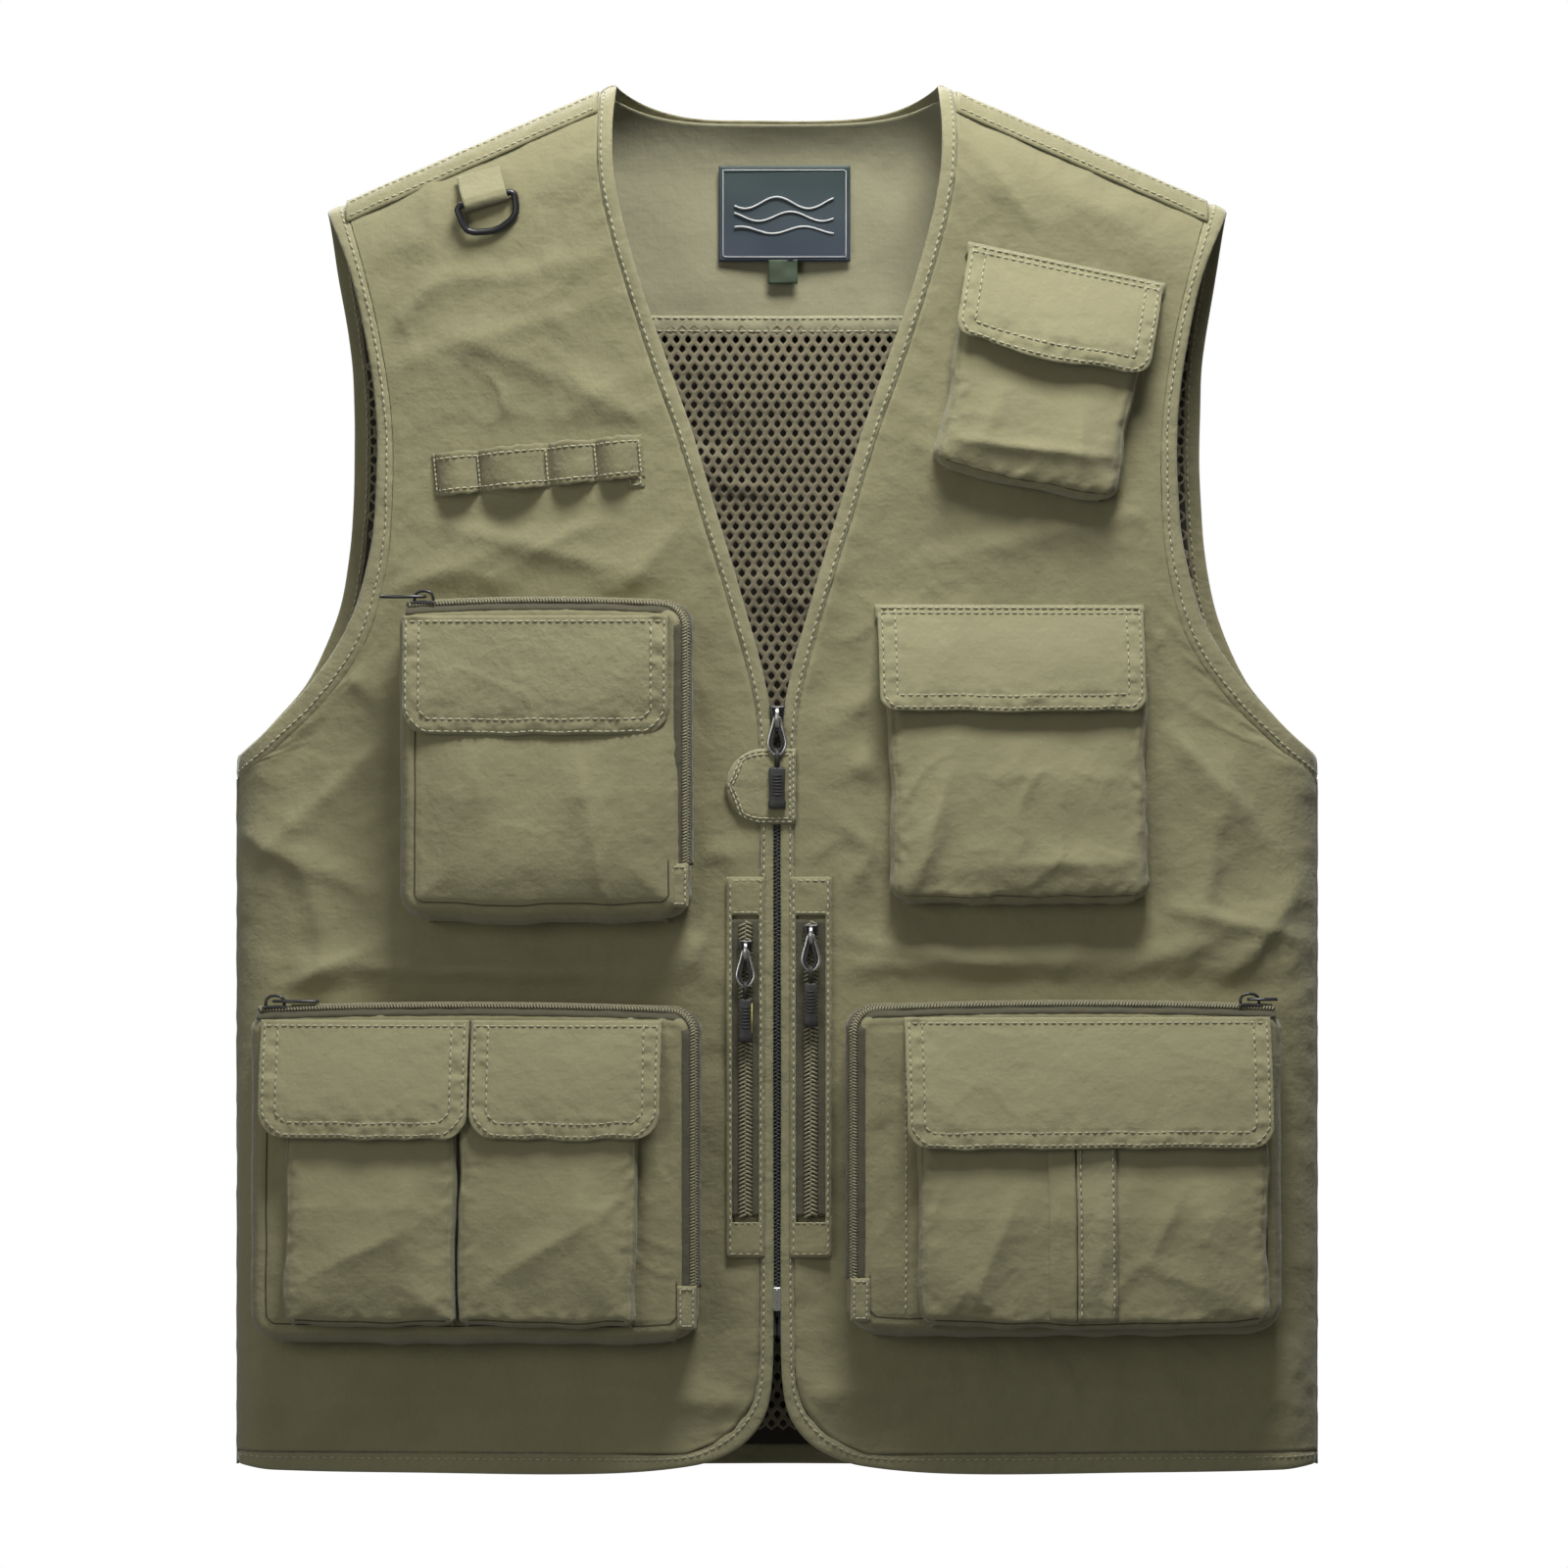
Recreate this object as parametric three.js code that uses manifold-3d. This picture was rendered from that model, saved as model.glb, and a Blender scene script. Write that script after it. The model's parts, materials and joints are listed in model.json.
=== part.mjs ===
// A fishing vest, hung upright: two fronts, a back with a yoke, mesh linings, bindings, a full front zip,
// bellows pockets with flaps, vertical zip pockets, tool loops and a D-ring.
// Millimetres, +Z up, the front faces -Y. The origin is on the centre line, level with the neck points.
import * as THREE from 'three';
import { mergeVertices } from 'three/addons/utils/BufferGeometryUtils.js';
import Module from 'manifold-3d';

const wasm = await Module();
wasm.setup();

// Driving dimensions
const CLOTH = 1.2; // a layer of fabric with its seam allowances
const GAP = 0.3; // clearance between pieces that touch
const HALF_WIDTH = 274; // side seam to centre line
const DEPTH = 44; // front fabric to the side seam plane, at the centre line
const TILT = 0.1; // how fast each front falls back towards the side
const RIDGE = 15; // softens the fold where the two fronts meet
const SIDE_ROUND = 18;
const TOP_ROUND = 45;
const NECK_HALF = 82; // neck point to centre line
const SHOULDER_SLOPE = 0.44;
const NECK_DROP = 15.5; // how far the back neck dips below the neck points
const YOKE_SEAM_Z = -115;
const ARMPIT_Z = -354; // where the armhole meets the side seam
const ARMPIT_BAND_Z = -351; // the lower edge of the armhole binding there
const HEM_SEAM_Z = -694.5;
const LINING_LIFT = -3.4; // how far inside the outer fabric each lining hangs
const LINING_CLOTH = 0.8;
const BAND_LIFT = -0.2; // bindings wrap a little round the edge of the fabric
const BAND_CLOTH = CLOTH + 0.5;
const YOKE_LINING_FOOT_Z = -119.5;
const MESH_TOP_Z = -120;
const MESH_FOOT_Z = -690;

const FRONT = -1;
const BACK = 1;

const OLIVE = 0x8d8a68;
const OLIVE_LIGHT = 0x96936f;
const OLIVE_DARK = 0x6f6b4c;
const MESH_BROWN = 0x3f3a2a;
const LABEL_GREEN = 0x24363a;
const TAB_GREEN = 0x2c3a22;
const BLACK = 0x1b1b1c;
const NICKEL = 0x9a9a9a;

const fabric = (color = OLIVE) => ({ color, roughness: 0.9, metalness: 0 });
const metal = (color = BLACK) => ({ color, roughness: 0.35, metalness: 0.8 });
const rubber = () => ({ color: BLACK, roughness: 0.6, metalness: 0 });

// The form of the vest: two flattened shells that meet at the side seams and the shoulder lines.
const lerp = (a, b, t) => a + (b - a) * t;
const quarterRound = (t) => (t >= 1 ? 1 : Math.sqrt(Math.max(0, 1 - (1 - t) ** 2)));
const shoulderZ = (x) => -SHOULDER_SLOPE * Math.max(Math.abs(x) - NECK_HALF, 0);

function onForm(x, z, lift, face) {
  const inward = Math.min(1, Math.max(0, (shoulderZ(x) - z) / TOP_ROUND));
  const px = x * (1 + lift / HALF_WIDTH);
  const pz = z + lift * (1 - inward);
  const flat = DEPTH + lift - TILT * Math.hypot(px, RIDGE);
  const side = quarterRound((HALF_WIDTH + lift - Math.abs(px)) / (SIDE_ROUND + lift));
  const top = quarterRound((shoulderZ(px) + lift - pz) / (TOP_ROUND + lift));
  return [px, face * (flat * side * top + GAP / 2), pz];
}

// A closed mesh from a grid of points with an inner and an outer layer.
function closedSheet(rows, cols, pointAt) {
  const position = [];
  const index = [];
  const at = (i, j, k) => (i * (cols + 1) + j) * 2 + k;
  for (let i = 0; i <= rows; i++) {
    for (let j = 0; j <= cols; j++) position.push(...pointAt(i, j, 0), ...pointAt(i, j, 1));
  }
  const quad = (a, b, c, d) => index.push(a, b, c, a, c, d);
  for (let i = 0; i < rows; i++) {
    for (let j = 0; j < cols; j++) {
      quad(at(i, j, 1), at(i, j + 1, 1), at(i + 1, j + 1, 1), at(i + 1, j, 1));
      quad(at(i, j, 0), at(i + 1, j, 0), at(i + 1, j + 1, 0), at(i, j + 1, 0));
    }
    quad(at(i, 0, 0), at(i, 0, 1), at(i + 1, 0, 1), at(i + 1, 0, 0));
    quad(at(i, cols, 0), at(i + 1, cols, 0), at(i + 1, cols, 1), at(i, cols, 1));
  }
  for (let j = 0; j < cols; j++) {
    quad(at(0, j, 0), at(0, j + 1, 0), at(0, j + 1, 1), at(0, j, 1));
    quad(at(rows, j, 0), at(rows, j, 1), at(rows, j + 1, 1), at(rows, j + 1, 0));
  }
  const geometry = new THREE.BufferGeometry();
  geometry.setAttribute('position', new THREE.Float32BufferAttribute(position, 3));
  geometry.setIndex(index);
  return facingOut(geometry);
}

// Turns a closed mesh the right way out.
function facingOut(geometry) {
  const p = geometry.getAttribute('position');
  const index = geometry.getIndex().array;
  const [a, b, c] = [new THREE.Vector3(), new THREE.Vector3(), new THREE.Vector3()];
  let volume = 0;
  for (let i = 0; i < index.length; i += 3) {
    a.fromBufferAttribute(p, index[i]);
    b.fromBufferAttribute(p, index[i + 1]);
    c.fromBufferAttribute(p, index[i + 2]);
    volume += a.dot(b.cross(c));
  }
  if (volume < 0) {
    for (let i = 0; i < index.length; i += 3) [index[i], index[i + 1]] = [index[i + 1], index[i]];
  }
  return geometry;
}

function toSolid(geometry) {
  const bare = new THREE.BufferGeometry();
  bare.setAttribute('position', geometry.getAttribute('position'));
  if (geometry.getIndex()) bare.setIndex(geometry.getIndex());
  const merged = mergeVertices(bare, 1e-4);
  return new wasm.Manifold(new wasm.Mesh({
    numProp: 3,
    vertProperties: new Float32Array(merged.getAttribute('position').array),
    triVerts: new Uint32Array(merged.getIndex().array),
  }));
}

function fromSolid(solid) {
  const mesh = solid.getMesh();
  const geometry = new THREE.BufferGeometry();
  geometry.setAttribute('position', new THREE.BufferAttribute(mesh.vertProperties, mesh.numProp));
  geometry.setIndex(new THREE.BufferAttribute(mesh.triVerts, 1));
  return geometry;
}

const join = (...parts) => fromSolid(parts.map(toSolid).reduce((a, b) => a.add(b)));
const carve = (base, ...tools) => fromSolid(
  tools.map(toSolid).reduce((a, b) => a.subtract(b), toSolid(base)),
);

// A plate whose outline lies in the local XZ plane, from its back face at v towards -Y.
function plate(points, v, thickness) {
  const shape = new THREE.Shape(points.map(([u, z]) => new THREE.Vector2(u, z)));
  const geometry = new THREE.ExtrudeGeometry(shape, { depth: thickness, bevelEnabled: false });
  return geometry.rotateX(Math.PI / 2).translate(0, v, 0);
}

// A flat ring between two outlines.
const ring = (outer, inner, v, thickness) => carve(
  plate(outer, v, thickness),
  plate(inner, v + 1, thickness + 2),
);

const rectangle = (u0, u1, z0, z1) => [[u0, z0], [u1, z0], [u1, z1], [u0, z1]];

function block(u0, u1, v0, v1, z0, z1) {
  const geometry = new THREE.BoxGeometry(u1 - u0, v1 - v0, z1 - z0);
  return geometry.translate((u0 + u1) / 2, (v0 + v1) / 2, (z0 + z1) / 2);
}

const vest = new THREE.Group();

function piece(parent, name, geometry, look) {
  const mesh = new THREE.Mesh(geometry, new THREE.MeshStandardMaterial(look));
  mesh.name = name;
  parent.add(mesh);
  return mesh;
}

// The two fronts are mirror images. Wearer's left is +X.
const SIDES = [['left', 1], ['right', -1]];

// Rows down one front, from the neck point to the corner at the hem:
// the free edge of its binding, the seam of that binding, and the far edge at the armhole or side seam.
const FRONT_ROWS = [
  [[81.8, -0.1], [89.5, -3.3], [219.5, -60.5]],
  [[83.5, -23], [91, -24], [207.5, -101]],
  [[82.5, -46.5], [90, -48], [199.5, -138.5]],
  [[77.5, -72], [84.5, -75], [195, -174]],
  [[68, -105.5], [75, -108], [195, -213.5]],
  [[55, -143], [62.5, -146], [198, -246]],
  [[43, -177], [50, -181], [207.5, -281]],
  [[31, -217], [38, -221], [227, -310.5]],
  [[18, -260], [25, -263], [253, -336.5]],
  [[5.5, -309], [12, -312], [274, ARMPIT_Z]],
  [[2.6, -345], [9, -345], [274, -385]],
  [[2.6, -500], [9, -500], [274, -510]],
  [[2.6, -640], [9, -640], [274, -640]],
  [[4, -668], [11, -664], [274, -662]],
  [[10, -682], [18, -677], [274, -676]],
  [[22, -693], [29, -687], [274, -686]],
  [[42, -700.5], [46, -694.5], [274, HEM_SEAM_Z]],
];
// The hem binding goes on from there to the side seam.
const HEM_ROWS = [
  [[90, -705], [90, -694.8]],
  [[180, -705], [180, -694.8]],
  [[256, -704], [256, -694.8]],
  [[266, -703], [266, -694.8]],
  [[271.5, -702.3], [271.5, -694.8]],
  [[274, -701.5], [274, -694.8]],
];
const ARMHOLE_EDGE_FRONT = [
  [229, -64.7], [216, -97], [207.5, -134.5], [203, -172], [203.5, -210],
  [207, -240.5], [217, -273.5], [236, -303.5], [259, -328], [274, -341],
];
const ARMHOLE_EDGE_BACK = [
  [229, -64.7], [224, -97], [219, -127], [216.5, -155], [216, -200],
  [218.5, -236], [225, -270], [239, -301.5], [259, -326], [274, -341],
];
const ARMHOLE_SEAM_BACK = [
  [219.5, -60.5], [216, -99], [213, YOKE_SEAM_Z], [208.5, -157], [208, -200],
  [210.5, -238], [217, -274], [231.5, -308], [254, -335], [274, ARMPIT_Z],
];

// Columns crowd together towards the side seam, where the form turns.
const SIDE_COLUMNS = [0, 0.3, 0.6, 0.8, 0.93, 0.96, 0.98, 0.993, 1];

// Panels stop short of the armhole seam, and the binding starts at it.
const clearOfBinding = ([x, z]) => [x < HALF_WIDTH ? x - 3 * GAP : x, z];
const atBinding = ([x, z]) => (x < HALF_WIDTH ? [x, z] : [x, ARMPIT_BAND_Z]);

function frontSheet(side, lift, cloth, inset) {
  const rows = FRONT_ROWS.map(([, seam, far]) => [[seam[0] + inset, seam[1]], clearOfBinding(far)]);
  return closedSheet(rows.length - 1, SIDE_COLUMNS.length - 1, (i, j, k) => {
    const [near, far] = rows[i];
    const t = SIDE_COLUMNS[j];
    return onForm(side * lerp(near[0], far[0], t), lerp(near[1], far[1], t), lift + cloth * k, FRONT);
  });
}

function bandSheet(rows, lift, cloth) {
  return closedSheet(rows.length - 1, 1, (i, j, k) => {
    const [x, z, face] = rows[i][j];
    return onForm(x, z, lift + cloth * k, face);
  });
}

function buildFronts() {
  for (const [word, side] of SIDES) {
    piece(vest, `front_${word}`, frontSheet(side, 0, CLOTH, GAP), fabric());
    piece(vest, `front_lining_${word}`, frontSheet(side, LINING_LIFT, LINING_CLOTH, 4), fabric(MESH_BROWN));
    const band = [...FRONT_ROWS, ...HEM_ROWS].map(([free, seam]) => [
      [side * free[0], free[1], FRONT],
      [side * seam[0], seam[1], FRONT],
    ]);
    piece(vest, `front_band_${word}`, bandSheet(band, BAND_LIFT, BAND_CLOTH), fabric(OLIVE_LIGHT));
    const armhole = (edge, seam, face) => edge.map(([x, z], i) => {
      const [seamX, seamZ] = atBinding(seam[i]);
      return [[side * x, z, face], [side * seamX, seamZ, face]];
    });
    const frontRows = armhole(ARMHOLE_EDGE_FRONT, FRONT_ROWS.map((row) => row[2]), FRONT);
    const backRows = armhole(ARMHOLE_EDGE_BACK, ARMHOLE_SEAM_BACK, BACK);
    const round = bandSheet([...backRows.reverse(), ...frontRows], BAND_LIFT, BAND_CLOTH);
    piece(vest, `armhole_band_${word}`, round, fabric(OLIVE_LIGHT));
  }
}

// Steps across half of the back neck, from the centre line to the neck point.
const NECK_STEPS = [0, 0.25, 0.5, 0.75, 0.9, 1];
const NECK_SEAM_HALF = 89.5;
const mirrored = (steps) => [...steps.slice(1).reverse().map((f) => -f), ...steps];
const neckEdge = (f) => [NECK_HALF * f, -NECK_DROP * (1 - f ** 4)];
const neckSeam = (f) => [NECK_SEAM_HALF * f, -3.3 - (NECK_DROP + 0.7) * (1 - f ** 4)];

const YOKE_TOP_HALF = 219.5;
const YOKE_FOOT_HALF = 213;

// The yoke's rows run from the neck seam and the shoulder line down to the yoke seam.
function yokeSheet(lift, cloth, foot) {
  const neckShare = (NECK_SEAM_HALF + 1) / YOKE_TOP_HALF;
  const columns = mirrored([...NECK_STEPS.map((f) => f * neckShare), 0.55, 0.7, 0.85, 1]);
  const drops = [0, 0.03, 0.1, 0.22, 0.45, 1];
  return closedSheet(drops.length - 1, columns.length - 1, (i, j, k) => {
    const f = columns[j];
    const topX = f * (YOKE_TOP_HALF - GAP);
    const neck = Math.min(1, Math.abs(f) / neckShare);
    const topZ = neck < 1 ? neckSeam(neck)[1] - 2 * GAP : shoulderZ(topX);
    const footX = f * (YOKE_FOOT_HALF - 2 * GAP);
    return onForm(lerp(topX, footX, drops[i]), lerp(topZ, foot, drops[i]), lift + cloth * k, BACK);
  });
}

function backSheet(lift, cloth, head, foot) {
  const seamRows = ARMHOLE_SEAM_BACK.slice(2);
  const straight = [[HALF_WIDTH, -440], [HALF_WIDTH, -580], [HALF_WIDTH, foot]];
  const rows = [[seamRows[0][0], head], ...seamRows.slice(1), ...straight];
  const columns = mirrored(SIDE_COLUMNS);
  return closedSheet(rows.length - 1, columns.length - 1, (i, j, k) => {
    const [reach, z] = clearOfBinding(rows[i]);
    return onForm(columns[j] * reach, z, lift + cloth * k, BACK);
  });
}

function buildBack() {
  piece(vest, 'back_yoke', yokeSheet(0, CLOTH, YOKE_SEAM_Z + GAP), fabric());
  piece(vest, 'back_panel', backSheet(0, CLOTH, YOKE_SEAM_Z, HEM_SEAM_Z), fabric());
  piece(vest, 'yoke_lining', yokeSheet(LINING_LIFT, LINING_CLOTH, YOKE_LINING_FOOT_Z), fabric());
  const mesh = backSheet(LINING_LIFT, LINING_CLOTH, MESH_TOP_Z, MESH_FOOT_Z);
  piece(vest, 'mesh_lining', mesh, fabric(MESH_BROWN));

  const neckRows = mirrored(NECK_STEPS).map((f) => [[...neckEdge(f), BACK], [...neckSeam(f), BACK]]);
  piece(vest, 'neck_band', bandSheet(neckRows, BAND_LIFT, BAND_CLOTH), fabric(OLIVE_LIGHT));

  const half = (side) => HEM_ROWS.map(([free, seam]) => [
    [side * free[0], free[1], BACK],
    [side * seam[0], seam[1], BACK],
  ]);
  const hem = [...half(-1).reverse(), ...half(1)];
  piece(vest, 'hem_band_back', bandSheet(hem, BAND_LIFT, BAND_CLOTH), fabric(OLIVE_LIGHT));
}

// Labels inside the back neck, facing forwards. Their tops are caught in the neck seam.
const LABEL_Y = 34.8; // just in front of the yoke lining
const LABEL_FOOT_Z = -87;

function buildLabels() {
  const back = LABEL_Y;
  const front = LABEL_Y - LINING_CLOTH;
  piece(vest, 'label', block(-30, 37.5, front, back, LABEL_FOOT_Z, -38), fabric(LABEL_GREEN));
  const tab = block(-4.5, 10.5, front, back, -98.5, LABEL_FOOT_Z - GAP);
  piece(vest, 'size_tab', tab, fabric(TAB_GREEN));
}

// The main zip: a tape behind each front edge with half of the coil along it.
const ZIP_TOP = -316;
const ZIP_FOOT = -610;
const TAPE_FOOT = -636;
const FRONT_Y = -(DEPTH - TILT * RIDGE); // front fabric at the centre line

function buildMainZip() {
  for (const [word, side] of SIDES) {
    const inner = side * 0.2;
    const across = (edge) => [Math.min(inner, side * edge), Math.max(inner, side * edge)];
    const tape = block(...across(12), FRONT_Y + 0.9, FRONT_Y + 1.8, TAPE_FOOT, ZIP_TOP);
    const coil = block(...across(1.9), FRONT_Y - 0.9, FRONT_Y + 1.2, ZIP_FOOT, ZIP_TOP - 2);
    piece(vest, `main_zip_${word}`, join(tape, coil), fabric(BLACK));
  }
  const box = block(-2, 2, FRONT_Y - 1.8, FRONT_Y + 0.6, -622, ZIP_FOOT - GAP);
  piece(vest, 'main_zip_box', box, metal(NICKEL));
}

// A slider with its bridge, and a wire loop with a cord end or tab that hangs from the bridge.
// Both are built hanging down from their own origin, the hinge, which lies just under the bridge.
const sliderBody = (halfWidth, length) => join(
  block(-halfWidth, halfWidth, -1.6, 0, -length / 2, length / 2),
  block(-1.2, 1.2, -2.2, -1.4, -length / 2 + 0.6, length / 2 - 0.6),
  block(-1.2, 1.2, -6, -2, length / 2 - 2.2, length / 2 - 0.6),
  block(-1.2, 1.2, -6, -2, -length / 2 + 0.6, -length / 2 + 2.2),
  block(-1.2, 1.2, -6, -4.8, -length / 2 + 0.6, length / 2 - 0.6),
);

const WIRE_HALF = 0.6;
const CORD_LENGTH = 6; // between a wire loop and its tab

function pullLoop(loopHalf, loopLength, tabHalf, tabLength) {
  const outer = [[-2.9, 0.6], [2.9, 0.6], [loopHalf, -loopLength * 0.45], [loopHalf * 0.8, -loopLength],
    [-loopHalf * 0.8, -loopLength], [-loopHalf, -loopLength * 0.45]];
  const inner = [[-1.7, -0.6], [1.7, -0.6], [loopHalf - 1.4, -loopLength * 0.45],
    [loopHalf * 0.6, -loopLength + 1.4], [-loopHalf * 0.6, -loopLength + 1.4],
    [-loopHalf + 1.4, -loopLength * 0.45]];
  const tabTop = -loopLength - CORD_LENGTH;
  return join(
    ring(outer, inner, WIRE_HALF, 2 * WIRE_HALF),
    block(-1.4, 1.4, -1.2, 1.2, tabTop - 1, -loopLength + WIRE_HALF),
    block(-tabHalf, tabHalf, -1.6, 1.6, tabTop - tabLength, tabTop),
  );
}

const wirePull = (length) => ring(
  rectangle(-2.9, 2.9, -length, WIRE_HALF),
  rectangle(-1.7, 1.7, -length + 2 * WIRE_HALF, -WIRE_HALF),
  WIRE_HALF,
  2 * WIRE_HALF,
);

// Sliders and pulls share a frame: the slider's back face at v = 0, the hinge in front of it.
const HINGE_OUT = 3.5;
function slidingPull(parent, name, place, turn, sliderLook, slider, pull, pullLook) {
  const frame = new THREE.Group();
  frame.position.set(...place);
  frame.quaternion.setFromRotationMatrix(turn);
  parent.add(frame);
  piece(frame, `${name}_slider`, slider, sliderLook);
  const hung = new THREE.Group();
  hung.position.set(0, -HINGE_OUT, 0);
  frame.add(hung);
  piece(hung, `${name}_pull`, pull, pullLook);
}

const UPRIGHT = new THREE.Matrix4();

// On top of a box pocket the slider faces up and its pull lies along the zip, towards +u or -u.
const lyingTowards = (direction) => new THREE.Matrix4().makeBasis(
  new THREE.Vector3(0, direction, 0), new THREE.Vector3(0, 0, -1), new THREE.Vector3(-direction, 0, 0));

// Each front's pockets are laid out in the plane of that front, u along it, v out of it towards -Y.
const TILT_ANGLE = Math.atan(TILT);
const SKIN = -(CLOTH + GAP); // v of the first thing on the fabric
const WALL = 1.5;

function frontPlane(side) {
  const plane = new THREE.Group();
  plane.position.set(0, -DEPTH, 0);
  plane.rotation.z = side * TILT_ANGLE;
  vest.add(plane);
  return plane;
}

// The u of a point that shows at x when it stands at v.
const along = (x, v) => (x + Math.sin(Math.sign(x) * TILT_ANGLE) * v) / Math.cos(TILT_ANGLE);

// The gusset of a box pocket: a U of fabric standing off the vest, open at the top under the zip.
function gusset(u0, u1, z0, z1, depth) {
  const outline = [[u0, z1], [u0, z0 + 6], [u0 + 6, z0], [u1 - 6, z0], [u1, z0 + 6], [u1, z1],
    [u1 - WALL, z1], [u1 - WALL, z0 + 6.5], [u1 - 6.5, z0 + WALL],
    [u0 + 6.5, z0 + WALL], [u0 + WALL, z0 + 6.5], [u0 + WALL, z1]];
  return plate(outline, SKIN, depth);
}

// A zip along the top of a box pocket and down the side next to the centre front.
const BOX_TAPE = 15; // width of its tape
function boxZip(u0, u1, z0, z1, depth, innerSide) {
  const [near, far] = innerSide > 0 ? [u1, u0] : [u0, u1];
  const s = innerSide;
  const foot = z0 + 30;
  const [inside, outside] = [GAP, GAP + WALL];
  const outline = [[far, z1 + inside], [near + s * inside, z1 + inside], [near + s * inside, foot],
    [near + s * outside, foot], [near + s * outside, z1 + outside], [far, z1 + outside]];
  return plate(outline, SKIN - depth + BOX_TAPE, BOX_TAPE);
}

// A patch pocket is a tray open at the top and towards the fabric behind it, deeper at its foot.
function patchPocket(u0, u1, z0, z1, v, mouth, foot) {
  const outer = wedge(u0, u1, z0, z1, v, mouth, foot);
  const inner = wedge(u0 + WALL, u1 - WALL, z0 + WALL, z1 + 1, v + 1, mouth + 1 - WALL, foot + 1 - WALL);
  return carve(outer, inner);
}

const wedge = (u0, u1, z0, z1, v, mouth, foot) => alongU(
  [[v, z1], [v, z0], [v - foot, z0], [v - mouth, z1]],
  u0,
  u1,
);

// A solid whose profile lies in the local VZ plane, running from u0 to u1.
function alongU(profile, u0, u1) {
  const shape = new THREE.Shape(profile.map(([y, z]) => new THREE.Vector2(y, z)));
  const geometry = new THREE.ExtrudeGeometry(shape, { depth: u1 - u0, bevelEnabled: false });
  geometry.applyMatrix4(new THREE.Matrix4().makeBasis(
    new THREE.Vector3(0, 1, 0), new THREE.Vector3(0, 0, 1), new THREE.Vector3(1, 0, 0)));
  return geometry.translate(u0, 0, 0);
}

// A flap hangs from the front of its top edge, just off v, and leans out clear of the pocket under it.
const FLAP_CLOTH = 1.5;
function flap(parent, name, u0, u1, top, length, v, lean, cut, middle = 0) {
  const half = (u1 - u0) / 2;
  const outline = [[-half, 0], [-half, -length + cut], [-half + cut, -length], [0, -length - middle],
    [half - cut, -length], [half, -length + cut], [half, 0]];
  const mesh = piece(parent, name, plate(outline, FLAP_CLOTH, FLAP_CLOTH), fabric(OLIVE_LIGHT));
  mesh.position.set((u0 + u1) / 2, v - FLAP_CLOTH, top);
  mesh.rotation.x = -lean;
  return mesh;
}

const FACE = 1.5; // thickness of a box pocket's front with its facing
const BOX_DEPTH = 27;
const BOX_SLIDER_V = SKIN - BOX_DEPTH + 3.5; // the slider stands near the front edge of the zip's tape
const FACE_V = SKIN - BOX_DEPTH - GAP - FACE - GAP; // v of the first thing on a box pocket's face

function buildRightPockets() {
  const plane = frontPlane(-1);
  const boxes = [
    { name: 'mid_pocket_right', x0: -190.5, x1: -46, z0: -423.5, z1: -266.5, pull: -1 },
    { name: 'low_pocket_right', x0: -266, x1: -42, z0: -636, z1: -471, pull: 1 },
  ];
  for (const box of boxes) {
    const u0 = along(box.x0, -BOX_DEPTH);
    const u1 = along(box.x1, -BOX_DEPTH);
    piece(plane, `${box.name}_gusset`, gusset(u0, u1, box.z0, box.z1, BOX_DEPTH), fabric(OLIVE_DARK));
    const face = plate(rectangle(u0, u1, box.z0, box.z1), SKIN - BOX_DEPTH - GAP, FACE);
    piece(plane, `${box.name}_face`, face, fabric());
    piece(plane, `${box.name}_zip`, boxZip(u0, u1, box.z0, box.z1, BOX_DEPTH, 1), fabric(OLIVE_DARK));
    slidingPull(plane, box.name, [u0 + 12, BOX_SLIDER_V, box.z1 + 2.1], lyingTowards(box.pull),
      metal(), sliderBody(3.9, 12), wirePull(22), metal());
  }
  flap(plane, 'mid_flap_right', along(-188.5, FACE_V), along(-55, FACE_V), -270.5, 60, FACE_V, 0.03, 6, 0.5);
  const patches = [
    { word: 'outer', x0: -247, x1: -161.5, f0: -260.5, f1: -155 },
    { word: 'inner', x0: -159, x1: -71, f0: -154, f1: -58 },
  ];
  for (const patch of patches) {
    const pocket = patchPocket(along(patch.x0, FACE_V), along(patch.x1, FACE_V), -627, -519, FACE_V, 7, 14);
    piece(plane, `low_patch_${patch.word}_right`, pocket, fabric());
    const [flap0, flap1] = [along(patch.f0, FACE_V), along(patch.f1, FACE_V)];
    flap(plane, `low_flap_${patch.word}_right`, flap0, flap1, -474.5, 61, FACE_V, 0.2, 7);
  }
}

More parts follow.
